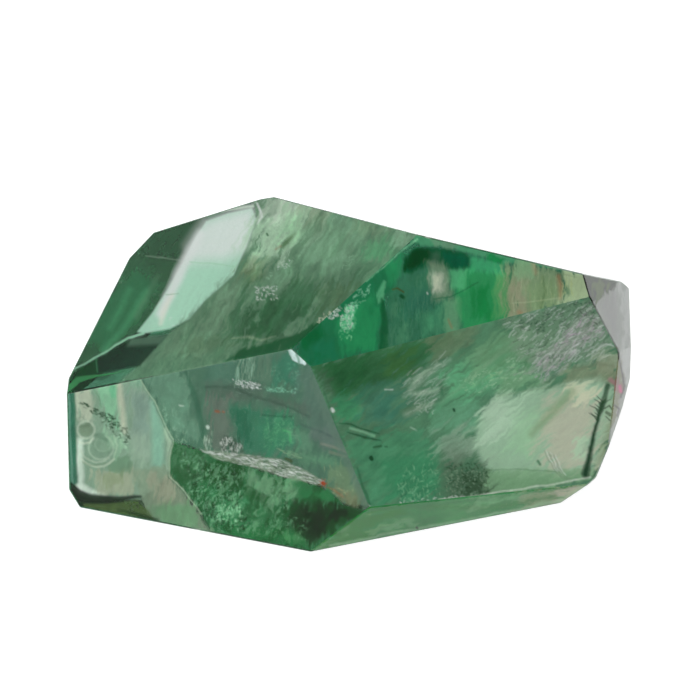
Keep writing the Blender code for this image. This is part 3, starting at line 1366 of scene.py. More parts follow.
sheet.sprinkle([
    ("specks under the hook", [(388, 306), (412, 308), (412, 320), (388, 320)],
     6, 1.2, 1.1, PINE, 0.70, 0, 40),
    ("pale streaks", [(386, 300), (436, 296), (440, 340), (390, 346)],
     90, 12.0, 0.9, rgb(92, 142, 112), 0.34, 86, 10),
    ("dark streaks", [(386, 300), (436, 296), (440, 340), (390, 346)],
     110, 10.0, 0.9, rgb(30, 74, 52), 0.46, 86, 12),
    # The bruise: flecks for its tiny cleavages, with their glitter and glow painted in as bright
    # glints and a painted glow.
    ("bruise glow", [(340, 322), (346, 306), (356, 306), (354, 328), (344, 332)],
     60, 4.0, 3.4, rgb(112, 190, 146), 0.45, 65, 60),
    ("bright bruise", [(339, 322), (346, 304), (354, 306), (352, 328), (344, 332)],
     110, 2.0, 0.8, rgb(206, 244, 220), 0.85, 65, 60),
    ("mint bruise", [(350, 306), (356, 291), (370, 285), (368, 298), (356, 308)],
     90, 2.6, 1.1, rgb(140, 212, 168), 0.70, 50, 40),
    ("drops", [(336, 330), (354, 326), (352, 340), (338, 340)],
     34, 1.6, 1.2, rgb(120, 196, 150), 0.60, 60, 60),
    ("white tip", [(326, 318), (334, 308), (342, 306), (340, 314), (332, 320)],
     60, 1.8, 1.2, rgb(206, 226, 208), 0.90, 50, 60),
])
sheet.drift(rgb(86, 140, 106), 0.28, 12.0, 0.54, 0.70, 80.0, 3.0, teal_cloud)
sheet.drift(DEEP, 0.30, 16.0, 0.56, 0.70, 60.0, 2.0, left_emerald)
sheet.tell("arch painted")

# %% [markdown]
# Towards the right end the green gives way to sand, with rusty stripes that stand almost upright.

# %% Upper right flat: the sandy end
sandy_end = [(506, 264), (560, 270), (566, 306), (508, 324)]
sheet.patches([
    ("sandy ground", sandy_end, rgb(122, 140, 110), 0.88, 5.0, 0.1),
    ("rosy sand", [(508, 280), (524, 280), (527, 316), (508, 322)],
     rgb(150, 138, 120), 0.62, 6.0, 0.2),
    ("green sand", [(528, 286), (552, 282), (554, 306), (532, 312)],
     rgb(120, 144, 104), 0.50, 5.0, 0.2),
    ("upper mist", [(514, 258), (534, 262), (532, 276), (514, 276)],
     rgb(124, 160, 124), 0.65, 4.0, 0.1),
    ("pale tip", [(562, 268), (578, 270), (592, 286), (598, 300), (562, 308)],
     rgb(162, 174, 142), 0.84, 4.0, 0.05),
    ("lime stripe", [(563, 282), (570, 282), (570, 294), (563, 295)],
     rgb(160, 166, 108), 0.50, 4.0, 0.1),
])
sheet.strokes([
    ("upper rust", [(532, 260), (535, 273)], [5.0, 4.0], rgb(158, 132, 108), 0.60, 2.6, 0.2),
    ("rust stripe", [(559, 276), (560, 286), (560, 298)],
     [4.0, 5.0, 3.0], rgb(154, 112, 84), 0.62, 2.4, 0.2),
    ("dark stripe", [(543, 277), (545, 292), (541, 306), (542, 316)],
     2.4, rgb(80, 106, 68), 0.65, 1.2, 0.3),
    ("second stripe", [(551, 280), (552, 298)], 1.6, rgb(104, 126, 84), 0.50, 1.0, 0.3),
    ("rust foot", [(519, 312), (523, 316), (527, 317)], 3.4, rgb(166, 106, 80), 0.55, 2.4, 0.3),
    ("pale cross line", [(512, 303), (538, 301), (560, 298)],
     1.2, rgb(166, 172, 140), 0.50, 0.9, 0.2),
    ("dark cross line", [(536, 268), (560, 273), (576, 277)], 1.4, rgb(110, 128, 96), 0.45, 1.0, 0.2),
])
sheet.sprinkle([
    ("sand streaks", [(508, 266), (590, 276), (566, 304), (508, 320)],
     90, 11.0, 0.9, rgb(94, 120, 86), 0.28, 86, 8),
    ("light streaks", [(508, 266), (590, 276), (566, 304), (508, 320)],
     70, 11.0, 0.9, rgb(178, 186, 150), 0.28, 86, 8),
])
sheet.mottle(0.08, 6.0, 84.0, 3.0)
hang_front(sheet, "upper_right")

# %% [markdown]
# ## The front left flat
#
# Here most of the damage hangs. At the left is a pale window, its paleness painted light from the
# card shining through, with growth rings and a trail of bubbles, set in a dark rim of painted
# reflection. Then comes a milky grey patch with dark bands, a cleavage line made bright with painted
# glints that ends in a star of rust, and moss green below it.

# %% Front left flat: the painted light of the pale window
front_left_corners = [(67, 393), (290, 349), (310, 367), (369, 508), (310, 552), (80, 508), (69, 490)]
# The pale window: painted light where the card shines through the stone.
painted_light_window = [
    (66, 388), (138, 375), (155, 402), (163, 420), (173, 439), (170, 458), (169, 476), (140, 500),
    (66, 500),
]
sheet = front_sheet("front_left", front_left_corners, grain=80.0, seed=300)
sheet.patch(painted_light_window, rgb(146, 174, 152), 0.76, 1.6, 0.05, 0.2)
sheet.patches([
    ("sandy corner", [(76, 390), (91, 387), (94, 410), (92, 424), (76, 420)],
     rgb(184, 188, 170), 0.72, 4.0, 0.05),
    ("mint zone", [(94, 386), (117, 380), (117, 428), (106, 420), (99, 408)],
     rgb(136, 188, 154), 0.74, 4.0, 0.05),
    ("green edge", [(110, 381), (118, 380), (117, 396), (111, 396)],
     rgb(100, 176, 134), 0.65, 2.4, 0.0),
    ("grey zone", [(127, 378), (140, 376), (152, 402), (150, 444), (150, 466), (130, 446)],
     rgb(142, 162, 148), 0.74, 4.0, 0.1),
    ("shade in the grey", [(133, 396), (148, 394), (149, 430), (134, 428)],
     rgb(118, 142, 132), 0.65, 5.0, 0.1),
    ("green top", [(126, 378), (140, 375), (146, 388), (132, 392)],
     rgb(128, 172, 142), 0.60, 4.0, 0.1),
    ("pale foot", [(124, 436), (150, 440), (150, 470), (132, 462)],
     rgb(154, 176, 156), 0.55, 5.0, 0.1),
])
sheet.strokes([
    ("cream stripe", [(119, 380), (121, 404), (124, 432)],
     [5.0, 7.0, 5.0], rgb(188, 188, 170), 0.74, 2.8, 0.1),
    ("lagoon stripe", [(153, 404), (157, 430), (158, 462)],
     [5.0, 11.0, 12.0], rgb(134, 182, 162), 0.62, 4.0, 0.05),
    ("pale side", [(165, 428), (170, 444), (168, 470)],
     [3.0, 5.0, 3.0], rgb(170, 190, 168), 0.75, 1.6, 0.1),
    ("thin line", [(93, 387), (99, 398), (101, 407)], 1.2, rgb(92, 138, 108), 0.55, 0.9, 0.1),
    ("white strip", [(80, 440), (79, 466), (80, 492)],
     [5.0, 9.0, 8.0], rgb(200, 212, 200), 0.85, 2.6, 0.0),
    ("white foot", [(82, 488), (92, 492), (104, 494)],
     [8.0, 5.0, 3.0], rgb(206, 216, 206), 0.75, 2.4, 0.0),
])
sheet.patches([
    ("beige floor", [(90, 470), (112, 472), (134, 466), (136, 480), (134, 495), (96, 493)],
     rgb(158, 164, 142), 0.82, 3.0, 0.1),
    ("dusky blob", [(108, 468), (116, 458), (126, 454), (132, 462), (132, 470), (120, 474)],
     rgb(106, 138, 112), 0.82, 2.0, 0.05),
    ("dusky shade", [(100, 476), (122, 472), (124, 482), (106, 486)],
     rgb(132, 146, 114), 0.60, 3.0, 0.1),
    ("light below the trail", [(104, 432), (120, 438), (128, 448), (116, 458), (106, 448)],
     rgb(146, 184, 154), 0.60, 3.0, 0.1),
])
sheet.tell("pale window painted")

# %% [markdown]
# Two soft rings, like those on a cut branch, sit behind the pale window. A trail of dark bubbles
# crosses above them. The rings are brushed as circles, and the trail is sprinkled.

# %% Front left flat: the rings and the trail
small_ring = (86.0, 430.0)
large_ring = (101.0, 447.5)
inner_ring = (103.0, 444.0)
sheet.ring(small_ring, 3.2, 7.5, rgb(112, 130, 108), 0.74, 2.6)
sheet.ring(small_ring, 8.6, 1.4, rgb(190, 198, 182), 0.62, 1.5)
sheet.ring(large_ring, 5.0, 10.0, rgb(118, 144, 124), 0.70, 3.4, 0.95)
sheet.ring(large_ring, 12.4, 1.3, rgb(180, 198, 178), 0.55, 1.5, 0.95)
sheet.ring(inner_ring, 8.0, 1.0, rgb(160, 184, 160), 0.45, 1.3, 0.9)
sheet.strokes([
    ("shade in the large ring", [(96, 436), (102, 436), (107, 440)],
     [4.0, 6.0, 3.0], rgb(94, 124, 104), 0.70, 1.8, 0.0),
    ("shade in the small ring", [(81, 427), (88, 425)], [3.0, 4.0], rgb(98, 118, 96), 0.60, 1.6, 0.0),
    ("first arc", [(79, 442), (84, 444), (89, 443), (93, 439)],
     1.8, rgb(202, 208, 192), 0.60, 1.3, 0.0),
    ("second arc", [(80, 450), (84, 456), (90, 460), (97, 462), (104, 461), (109, 458)],
     1.6, rgb(178, 190, 172), 0.60, 1.2, 0.0),
    ("third arc", [(82, 459), (88, 464), (96, 467), (104, 466.6), (110, 463), (114, 459)],
     1.6, rgb(196, 204, 186), 0.62, 1.2, 0.0),
    ("dark arc", [(83, 462), (90, 465), (98, 465), (106, 463)],
     1.2, rgb(118, 138, 112), 0.55, 1.1, 0.0),
    ("side arc", [(114, 436), (117, 446), (114, 456)], 1.6, rgb(172, 194, 172), 0.60, 0.9, 0.0),
])
sheet.sprinkle([
    ("trail head", [(79, 403), (88, 402), (98, 410), (96, 415), (84, 408)],
     46, 3.0, 1.8, rgb(28, 72, 50), 0.95, -30, 40),
    ("trail", [(96, 407), (108, 413), (130, 432), (128, 446), (112, 432), (100, 418)],
     230, 3.0, 1.6, rgb(22, 66, 46), 0.95, -35, 70),
    ("light in the trail", [(96, 412), (130, 436), (127, 450), (102, 428)],
     80, 2.0, 1.1, rgb(182, 212, 188), 0.70, -40, 80),
    ("dust on the left", [(76, 412), (84, 412), (84, 424), (76, 424)],
     14, 1.8, 1.2, rgb(108, 124, 104), 0.55, 0, 90),
    ("dark nick", [(133, 473), (143, 474), (144, 487), (136, 486)],
     20, 3.0, 1.3, rgb(62, 100, 82), 0.70, -60, 40),
])
sheet.tell("rings painted")

# %% [markdown]
# The grey milk hangs in broad zones with dark lines across. Broad soft patches come first, lines
# after.

# %% Front left flat: the milky patch
milky_patch = [
    (137, 375), (296, 344), (316, 366), (350, 448), (368, 506), (344, 504), (318, 484), (206, 452),
    (173, 440), (163, 420), (154, 402),
]
sheet.patch(milky_patch, rgb(88, 124, 104), 0.82, 1.4, 0.08, 0.15)
sheet.patches([
    ("green shoulder", [(140, 376), (182, 368), (194, 404), (196, 436), (176, 436), (162, 410)],
     rgb(108, 146, 124), 0.80, 5.0, 0.15),
    ("grey by the top", [(206, 364), (236, 358), (240, 382), (208, 384)],
     rgb(84, 122, 106), 0.60, 6.0, 0.15),
    ("brownish stripes", [(254, 352), (276, 350), (274, 384), (252, 380)],
     rgb(100, 126, 108), 0.60, 4.0, 0.2),
    ("teal by the top", [(270, 354), (296, 354), (300, 384), (274, 392)],
     rgb(58, 122, 98), 0.70, 7.0, 0.12),
    ("grey right side", [(298, 370), (314, 370), (332, 420), (344, 446), (318, 440), (300, 412)],
     rgb(92, 116, 106), 0.70, 7.0, 0.12),
    ("smoky band",
     [(206, 384), (250, 385), (276, 394), (310, 406), (312, 416), (262, 403), (208, 398)],
     rgb(88, 102, 92), 0.66, 5.0, 0.2),
    ("smoky column", [(206, 396), (232, 398), (233, 440), (242, 454), (212, 450)],
     rgb(106, 112, 104), 0.74, 5.0, 0.15),
    ("teal square",
     [(232, 406), (262, 408), (294, 416), (300, 446), (268, 456), (246, 452), (234, 438)],
     rgb(58, 118, 92), 0.80, 5.0, 0.12),
    ("bright heart", [(260, 422), (290, 416), (292, 440), (264, 446)],
     rgb(76, 146, 106), 0.60, 8.0, 0.3),
    ("shade of the square", [(234, 410), (246, 412), (250, 446), (238, 438)],
     rgb(42, 98, 74), 0.65, 3.0, 0.1),
    ("pale beside it", [(290, 430), (310, 432), (316, 450), (292, 450)],
     rgb(102, 144, 118), 0.65, 4.0, 0.3),
    ("lilac grey side", [(312, 428), (340, 432), (348, 454), (318, 448)],
     rgb(98, 114, 108), 0.72, 4.0, 0.15),
    ("green strip", [(288, 450), (334, 456), (344, 470), (306, 466)],
     rgb(96, 142, 112), 0.70, 4.0, 0.3),
    ("mossy corner", [(324, 470), (348, 466), (366, 504), (350, 508), (334, 494)],
     rgb(112, 136, 106), 0.82, 4.0, 0.2),
    ("brown corner", [(334, 488), (350, 490), (360, 506), (346, 504)],
     rgb(128, 122, 94), 0.65, 4.0, 0.2),
])
sheet.strokes([
    ("dark slope", [(184, 364), (188, 378), (193, 392), (199, 412), (203, 436)],
     [2.0, 3.0, 6.0, 6.0, 4.0], rgb(64, 102, 82), 0.78, 1.4, 0.1),
    ("smoky line", [(206, 387), (232, 387), (252, 396), (278, 403), (309, 416)],
     [2.0, 2.6, 3.0, 2.2, 1.4], rgb(64, 84, 74), 0.70, 1.6, 0.3),
    ("second line", [(262, 414), (278, 417), (294, 416)], 1.6, rgb(46, 84, 66), 0.65, 1.0, 0.2),
    ("long shadow", [(300, 424), (318, 430), (342, 442)], 2.2, rgb(76, 94, 88), 0.60, 1.2, 0.2),
    ("rosy streak", [(322, 444), (336, 448), (346, 452)], 2.2, rgb(132, 132, 120), 0.65, 1.2, 0.2),
    ("rosy streak below", [(330, 452), (346, 457)], 2.6, rgb(124, 130, 114), 0.55, 1.2, 0.2),
    ("bright spring", [(284, 430), (290, 432), (290, 442)], 2.0, rgb(84, 174, 112), 0.60, 1.0, 0.2),
])
sheet.tell("milky patch painted")

# %% [markdown]
# Rows of white specks, fine stripes and spots of rust lie over the milk, with a bright chip in its
# corner.

# %% Front left flat: scratches in the milky patch
sheet.sprinkle([
    ("pale stripes", [(234, 354), (256, 350), (254, 380), (234, 382)],
     60, 12.0, 0.9, rgb(156, 188, 166), 0.55, 84, 8),
    ("dark stripes", [(232, 356), (274, 350), (272, 382), (234, 384)],
     50, 10.0, 0.9, rgb(58, 92, 76), 0.50, 84, 8),
    ("teal sparks", [(272, 364), (300, 362), (298, 392), (272, 392)],
     50, 2.2, 1.0, rgb(110, 180, 150), 0.60, 45, 90),
    ("white row", [(233, 379), (242, 380), (262, 384), (261, 389), (244, 388), (234, 383)],
     110, 1.6, 0.9, PEARL * 1.05, 0.95, 0, 70),
    ("mint row", [(264, 387), (298, 388), (297, 393), (268, 392)],
     60, 1.8, 0.9, rgb(134, 196, 168), 0.80, 0, 70),
    ("green net", [(262, 418), (294, 416), (296, 446), (264, 448)],
     60, 3.0, 1.0, rgb(112, 186, 140), 0.50, 60, 80),
    ("white by the column", [(204, 426), (212, 426), (212, 448), (204, 452)],
     26, 5.0, 0.9, rgb(186, 204, 186), 0.66, 84, 12),
    ("bright dust", [(220, 438), (238, 438), (246, 452), (220, 452)],
     80, 2.6, 0.8, rgb(220, 224, 214), 0.95, 84, 24),
    ("dark dust", [(220, 436), (240, 438), (246, 452), (220, 452)],
     90, 3.0, 0.8, rgb(44, 60, 50), 0.90, 84, 24),
    ("pale net at the left", [(160, 404), (174, 408), (192, 440), (184, 462), (170, 440)],
     110, 2.6, 0.9, rgb(156, 190, 164), 0.62, 70, 60),
    ("light scratches", milky_patch, 240, 4.0, 0.7, rgb(136, 168, 146), 0.34, -20, 60),
    ("dark scratches", milky_patch, 130, 7.0, 0.8, rgb(56, 86, 70), 0.24, -14, 24),
])
sheet.strokes([
    ("rust spot", [(215.8, 411.2), (219.2, 411.8)], 2.4, rgb(148, 84, 58), 0.80, 1.3, 0.2),
    ("small rust spot", [(223.2, 412), (224.4, 412.6)], 2.0, rgb(150, 90, 64), 0.70, 1.2, 0.2),
    ("white dot", [(207, 427), (207.6, 428)], 3.2, PEARL * 0.9, 0.75, 1.2, 0.0),
    ("white dot on the left", [(180, 405), (183.4, 405.4)], 1.4, PEARL * 0.9, 0.60, 0.8, 0.3),
    ("dark dot at the top", [(144, 370), (145, 371)], 2.0, INK, 0.85, 0.7, 0.0),
    ("dark dot", [(286, 459), (291, 461)], 3.0, rgb(70, 78, 48), 0.80, 1.2, 0.1),
])
bright_chip = [(288, 349), (297, 349), (303, 355), (305, 364), (299, 364), (292, 360)]
sheet.patch(bright_chip, rgb(206, 244, 224), 0.92, 1.0, 0.2, 0.3)
sheet.strokes([
    ("streak in the chip", [(295, 351), (298, 358), (299, 364)],
     2.0, rgb(84, 134, 112), 0.75, 0.8, 0.1),
    ("chip tail", [(303, 361), (304.6, 364)], 2.6, rgb(206, 240, 222), 0.90, 0.8, 0.0),
])
sheet.tell("scratches painted")

# %% [markdown]
# Moss is what cutters call dense green threads. It is dark and light in quick turns, so it is
# sprinkled twice over its green ground, once dark and once light.

# %% Front left flat: the moss
moss = [
    (172, 442), (206, 452), (260, 470), (320, 486), (346, 506), (368, 510), (306, 556), (214, 538),
    (200, 510), (184, 490), (169, 476),
]
sheet.patch(moss, rgb(60, 116, 76), 0.88, 1.3, 0.05, 0.4)
sheet.patches([
    ("mossy shoulder", [(174, 444), (206, 454), (210, 474), (190, 488), (172, 470)],
     rgb(78, 122, 88), 0.75, 4.0, 0.3),
    ("dark hollow", [(206, 462), (236, 464), (248, 470), (242, 490), (208, 488)],
     rgb(22, 78, 44), 0.90, 5.0, 0.25),
    ("pale meadow", [(248, 472), (292, 480), (298, 498), (268, 504), (246, 490)],
     rgb(112, 154, 120), 0.85, 6.0, 0.2),
    ("green shelf", [(294, 486), (328, 488), (342, 504), (300, 504)],
     rgb(50, 118, 72), 0.80, 4.0, 0.1),
    ("bright moss", [(206, 490), (250, 496), (262, 512), (244, 530), (212, 522)],
     rgb(74, 144, 98), 0.65, 6.0, 0.35),
    ("low green", [(222, 524), (300, 528), (310, 550), (226, 540)], rgb(44, 112, 64), 0.75, 5.0, 0.2),
    ("deep pool",
     [(286, 506), (318, 500), (350, 506), (366, 511), (338, 530), (312, 546), (290, 526)],
     rgb(6, 58, 28), 0.94, 5.0, 0.1),
    ("deepest pool", [(304, 510), (348, 508), (352, 516), (320, 536), (306, 526)],
     NIGHT, 0.90, 4.0, 0.1),
    ("low leaf", [(280, 530), (300, 534), (306, 542), (284, 540)], rgb(84, 148, 96), 0.70, 3.0, 0.3),
    ("pink field",
     [(137, 470), (166, 464), (170, 476), (184, 491), (200, 512), (214, 536), (150, 524), (140, 494)],
     rgb(132, 150, 128), 0.80, 2.0, 0.1),
    ("pink heart", [(146, 474), (172, 478), (182, 500), (156, 504)],
     rgb(156, 156, 136), 0.70, 5.0, 0.1),
    ("green foot", [(154, 506), (190, 500), (208, 534), (160, 526)],
     rgb(104, 152, 112), 0.70, 6.0, 0.2),
])
sheet.drift(rgb(24, 80, 46), 0.60, 8.0, 0.50, 0.62, 60.0, 1.6, moss, 2.0)
light_moss_side = [(176, 446), (300, 478), (290, 534), (206, 532)]
sheet.drift(rgb(116, 172, 130), 0.45, 5.0, 0.56, 0.68, 55.0, 2.0, light_moss_side)
sheet.sprinkle([
    ("light moss", [(176, 448), (236, 470), (250, 530), (212, 530), (190, 494)],
     330, 3.0, 1.1, rgb(132, 190, 148), 0.85, 55, 50),
    ("dark moss", [(176, 448), (236, 470), (250, 530), (212, 530), (190, 494)],
     420, 3.6, 1.2, rgb(10, 52, 28), 0.92, 60, 40),
    ("sparkling moss", [(214, 503), (240, 506), (242, 521), (218, 523)],
     90, 2.2, 1.2, rgb(158, 214, 172), 0.85, 60, 50),
    ("low moss", [(250, 500), (312, 522), (306, 540), (252, 534)],
     160, 3.2, 1.1, rgb(104, 164, 116), 0.60, 50, 60),
    ("pool edge", [(284, 502), (350, 504), (312, 540), (286, 528)],
     80, 5.0, 1.4, NIGHT, 0.60, 40, 60),
])
sheet.tell("moss painted")

# %% [markdown]
# Fluorite splits along flat planes. One such split shows as a splintery line, its bright splinters
# painted as glints, and at its end iron has left a small star of rust.

# %% Front left flat: the cleavage line and its star
cleavage = [
    (202, 450), (222, 452), (250, 455), (280, 459), (302, 469), (323, 481), (317, 485), (288, 478),
    (260, 469), (234, 463), (214, 458),
]
sheet.patch(cleavage, rgb(148, 160, 142), 0.85, 1.4, 0.4, 0.2)
sheet.sprinkle([
    # Painted highlights: the bright splinters are glints on the split.
    ("bright splinters", cleavage, 420, 6.0, 0.9, rgb(232, 238, 226), 0.90, -14, 10),
    ("dark splinters", cleavage, 300, 6.0, 0.9, rgb(62, 84, 62), 0.90, -14, 10),
    ("splinters above", [(276, 448), (300, 454), (298, 460), (280, 456)],
     22, 8.0, 1.0, rgb(150, 182, 146), 0.60, -16, 12),
    ("dust under the star", [(326, 486), (346, 490), (348, 498), (330, 494)],
     26, 3.0, 1.1, rgb(182, 172, 134), 0.60, -25, 40),
    ("corner dust", [(324, 468), (346, 472), (358, 498), (340, 490)],
     56, 2.4, 1.1, rgb(156, 174, 140), 0.50, 40, 80),
])
star = np.array([322.5, 483.0])
STAR_RAYS = (10, 58, 100, 150, 196, 250, 305, 345)
STAR_REACH = 4.8
for turn in STAR_RAYS:
    ray = np.array([math.cos(math.radians(turn)), -math.sin(math.radians(turn))])
    sheet.stroke([star, star + STAR_REACH * ray], [1.8, 0.5], RUST * 0.9, 0.75, 0.7)
sheet.strokes([
    ("star heart", [(321.8, 482.8), (323.2, 483.4)], 2.4, rgb(160, 70, 44), 0.85, 1.0, 0.0),
    ("rusty trail", [(327, 487), (334, 490), (343, 496)],
     [1.2, 2.6, 1.6], COPPER * 0.85, 0.62, 1.3, 0.4),
])
print("star of", len(STAR_RAYS), "rays at", star)

# %% [markdown]
# The rim of the flat is painted dark, as painted reflection, and thin painted highlights follow
# its edges.

# %% Front left flat: rims and edges
sheet.patches([
    # Painted reflection: the border, rim, toe and sill along the flat's edges.
    ("grey border",
     [(316, 364), (322, 382), (346, 440), (371, 506), (364, 510), (342, 460), (310, 384)],
     rgb(98, 122, 108), 0.60, 2.2, 0.1),
    ("left rim", [(64, 386), (75, 390), (76, 440), (78, 482), (66, 494)],
     rgb(36, 100, 78), 0.90, 1.4, 0.0),
    ("dark toe", [(64, 482), (77, 493), (94, 499), (124, 500), (126, 516), (78, 512), (64, 496)],
     rgb(8, 54, 34), 0.92, 1.8, 0.0),
    ("olive sill", [(84, 503), (104, 504), (138, 500), (150, 512), (160, 528), (118, 522), (84, 512)],
     rgb(80, 100, 62), 0.90, 2.0, 0.15),
], wave=0.2)
sheet.strokes([
    # The outer rim line is a painted highlight; the dark corner and dark sill are painted shade.
    ("outer rim", [(69, 392), (70, 440), (73, 486)], 2.2, rgb(104, 146, 130), 0.70, 0.9, 0.0),
    ("dark corner", [(71, 484), (78, 495), (92, 499), (118, 499), (140, 497)],
     [4.0, 11.0, 9.0, 6.0, 3.0], rgb(2, 50, 30), 0.95, 1.8, 0.0),
    ("dark sill", [(118, 510), (138, 515), (156, 521)],
     [1.0, 4.0, 6.0], rgb(34, 60, 32), 0.82, 1.6, 0.1),
    ("pale divide",
     [(138, 376), (155, 402), (163, 420), (173, 439), (170, 458), (169, 476), (184, 491), (202, 514)],
     1.2, rgb(182, 202, 176), 0.60, 0.8, 0.2),
    ("dark divide", [(154, 404), (162, 421), (172, 441), (168, 459), (168, 477), (184, 493)],
     1.1, rgb(68, 102, 82), 0.45, 0.8, 0.2),
    # Painted highlight along the top edge.
    ("top light", [(66, 391.4), (99, 381), (128, 376), (170, 369)],
     [2.6, 2.0, 1.8, 1.0], rgb(206, 226, 208), 0.88, 0.8, 0.0),
])
sheet.mottle(0.08, 7.0, 80.0, 2.5)
sheet.mottle(0.06, 2.6, 70.0, 3.0)
hang_front(sheet, "front_left")

# %% [markdown]
# ## The front right flat
#
# A broad flat with three moods: dark green at the upper left, scratches like lace in white and
# lilac at the upper right, and a calm pale field below. A dark twig of needles crosses the field
# near the end.

# %% Front right flat: the greens
front_right_corners = [
    (310, 367), (590, 296), (619, 352), (609, 447), (596, 478), (589, 485), (369, 508),
]
sheet = front_sheet("front_right", front_right_corners, grain=38.0, seed=400)
whole_flat = [(304, 364), (600, 292), (632, 360), (600, 484), (364, 514)]
sheet.patch(whole_flat, rgb(90, 130, 102), 0.72, 2.0, 0.1)
sheet.patches([
    ("dark slope",
     [(308, 364), (420, 338), (462, 328), (446, 348), (412, 368), (372, 392), (338, 402), (322, 388)],
     rgb(46, 92, 58), 0.85, 5.0, 0.1),
    ("deep slope", [(326, 366), (372, 356), (372, 380), (340, 396)], rgb(36, 84, 50), 0.65, 6.0, 0.2),
    ("olive slope", [(388, 352), (414, 348), (412, 372), (386, 376)],
     rgb(62, 98, 52), 0.65, 6.0, 0.2),
    ("smoky edge", [(316, 370), (332, 380), (336, 398), (326, 396)], rgb(72, 92, 76), 0.60, 4.0, 0.2),
    ("dusty slope", [(430, 334), (478, 322), (474, 346), (436, 364)],
     rgb(98, 114, 90), 0.78, 5.0, 0.2),
    ("left green", [(332, 398), (360, 394), (362, 420), (342, 422)],
     rgb(62, 132, 94), 0.75, 5.0, 0.1),
    ("blue pool", [(356, 388), (404, 384), (408, 416), (378, 430), (360, 420)],
     rgb(66, 112, 94), 0.66, 8.0, 0.1),
    ("blue heart", [(376, 400), (394, 398), (392, 416), (378, 418)],
     rgb(58, 108, 92), 0.55, 5.0, 0.1),
    ("lower green", [(346, 438), (410, 430), (440, 440), (442, 500), (368, 508)],
     rgb(72, 130, 98), 0.78, 7.0, 0.15),
    ("deep low green", [(382, 462), (436, 452), (436, 494), (386, 500)],
     rgb(54, 118, 84), 0.68, 7.0, 0.25),
    ("middle green", [(426, 402), (474, 384), (486, 430), (440, 446)],
     rgb(96, 142, 114), 0.75, 9.0, 0.2),
    ("spring green", [(446, 378), (500, 350), (520, 364), (490, 392), (456, 404)],
     rgb(96, 156, 118), 0.75, 6.0, 0.25),
    ("upper green", [(472, 346), (530, 322), (552, 330), (510, 366), (470, 384)],
     rgb(106, 142, 110), 0.75, 6.0, 0.2),
    ("shadow streak", [(518, 362), (556, 330), (562, 340), (530, 370)],
     rgb(78, 122, 88), 0.65, 3.0, 0.25),
    ("light band", [(498, 372), (546, 366), (548, 386), (500, 396)],
     rgb(120, 156, 122), 0.65, 5.0, 0.2),
    ("beige corner", [(590, 352), (618, 350), (624, 372), (596, 372)],
     rgb(152, 156, 136), 0.75, 5.0, 0.2),
    ("brown band", [(560, 368), (610, 362), (622, 380), (600, 388), (566, 388)],
     rgb(122, 128, 106), 0.78, 4.0, 0.25),
    ("grey rise", [(440, 434), (480, 430), (486, 458), (442, 462)],
     rgb(132, 148, 132), 0.72, 10.0, 0.2),
    ("end wall", [(606, 398), (622, 398), (608, 444), (598, 470), (592, 462), (598, 430)],
     rgb(140, 148, 122), 0.85, 2.4, 0.1),
])
sheet.mottle(0.10, 3.0, 38.0, 5.0)
sheet.mottle(0.10, 9.0, 38.0, 2.0)
sheet.tell("greens painted")

# %% [markdown]
# The calm lower right is a thin pale veil, cool at the left and rosy at the right.

# %% Front right flat: the pale field
pale_field = [
    (478, 420), (497, 397), (546, 388), (600, 378), (616, 392), (604, 440), (590, 476), (500, 476),
    (484, 468), (474, 444),
]
sheet.patch(pale_field, rgb(148, 172, 150), 0.84, 5.0, 0.05, 0.4)
sheet.patches([
    ("cool corner", [(488, 408), (520, 398), (522, 430), (484, 444)],
     rgb(166, 184, 166), 0.72, 9.0, 0.05),
    ("green pool", [(514, 416), (540, 412), (540, 452), (510, 456)],
     rgb(142, 174, 144), 0.65, 9.0, 0.05),
    ("rosy half", [(550, 404), (600, 388), (596, 430), (586, 470), (552, 470), (540, 440)],
     rgb(170, 166, 152), 0.80, 9.0, 0.05),
    ("bright cream", [(568, 386), (598, 382), (600, 400), (576, 404)],
     rgb(190, 188, 168), 0.70, 4.0, 0.1),
    ("mint spot", [(574, 436), (588, 438), (584, 456), (572, 458)],
     rgb(160, 186, 162), 0.70, 4.0, 0.05),
    ("floor band", [(484, 470), (592, 468), (596, 478), (480, 498)],
     rgb(118, 150, 118), 0.82, 2.0, 0.1),
])
sheet.strokes([
    ("brown streak", [(572, 392), (552, 412), (532, 434)],
     [8.0, 10.0, 6.0], rgb(124, 142, 110), 0.70, 4.0, 0.2),
    ("field's upper edge", [(497, 397), (520, 392), (546, 388), (572, 385)],
     1.2, rgb(116, 138, 112), 0.55, 0.9, 0.1),
    ("floor line", [(484, 470), (520, 469), (556, 471)], 1.0, rgb(94, 126, 96), 0.65, 0.7, 0.0),
])
sheet.patches([
    ("dusky patch", [(442, 470), (462, 462), (480, 464), (488, 484), (490, 500), (446, 504)],
     rgb(78, 100, 80), 0.80, 8.0, 0.2),
    ("dusky heart", [(462, 474), (480, 474), (486, 494), (466, 498)],
     rgb(50, 72, 52), 0.80, 7.0, 0.2),
])
sheet.sprinkle([
    ("dusky needles", [(446, 462), (486, 464), (492, 500), (446, 502)],
     260, 2.6, 1.2, rgb(34, 54, 38), 0.70, 60, 90),
    ("dusky glitter", [(444, 470), (486, 470), (492, 500), (446, 502)],
     140, 1.6, 0.9, rgb(140, 168, 142), 0.60, 40, 90),
])
sheet.tell("pale field painted")

# %% [markdown]
# Long soft streaks follow the slope of the flat, and short scratches lie over them in the same
# direction.

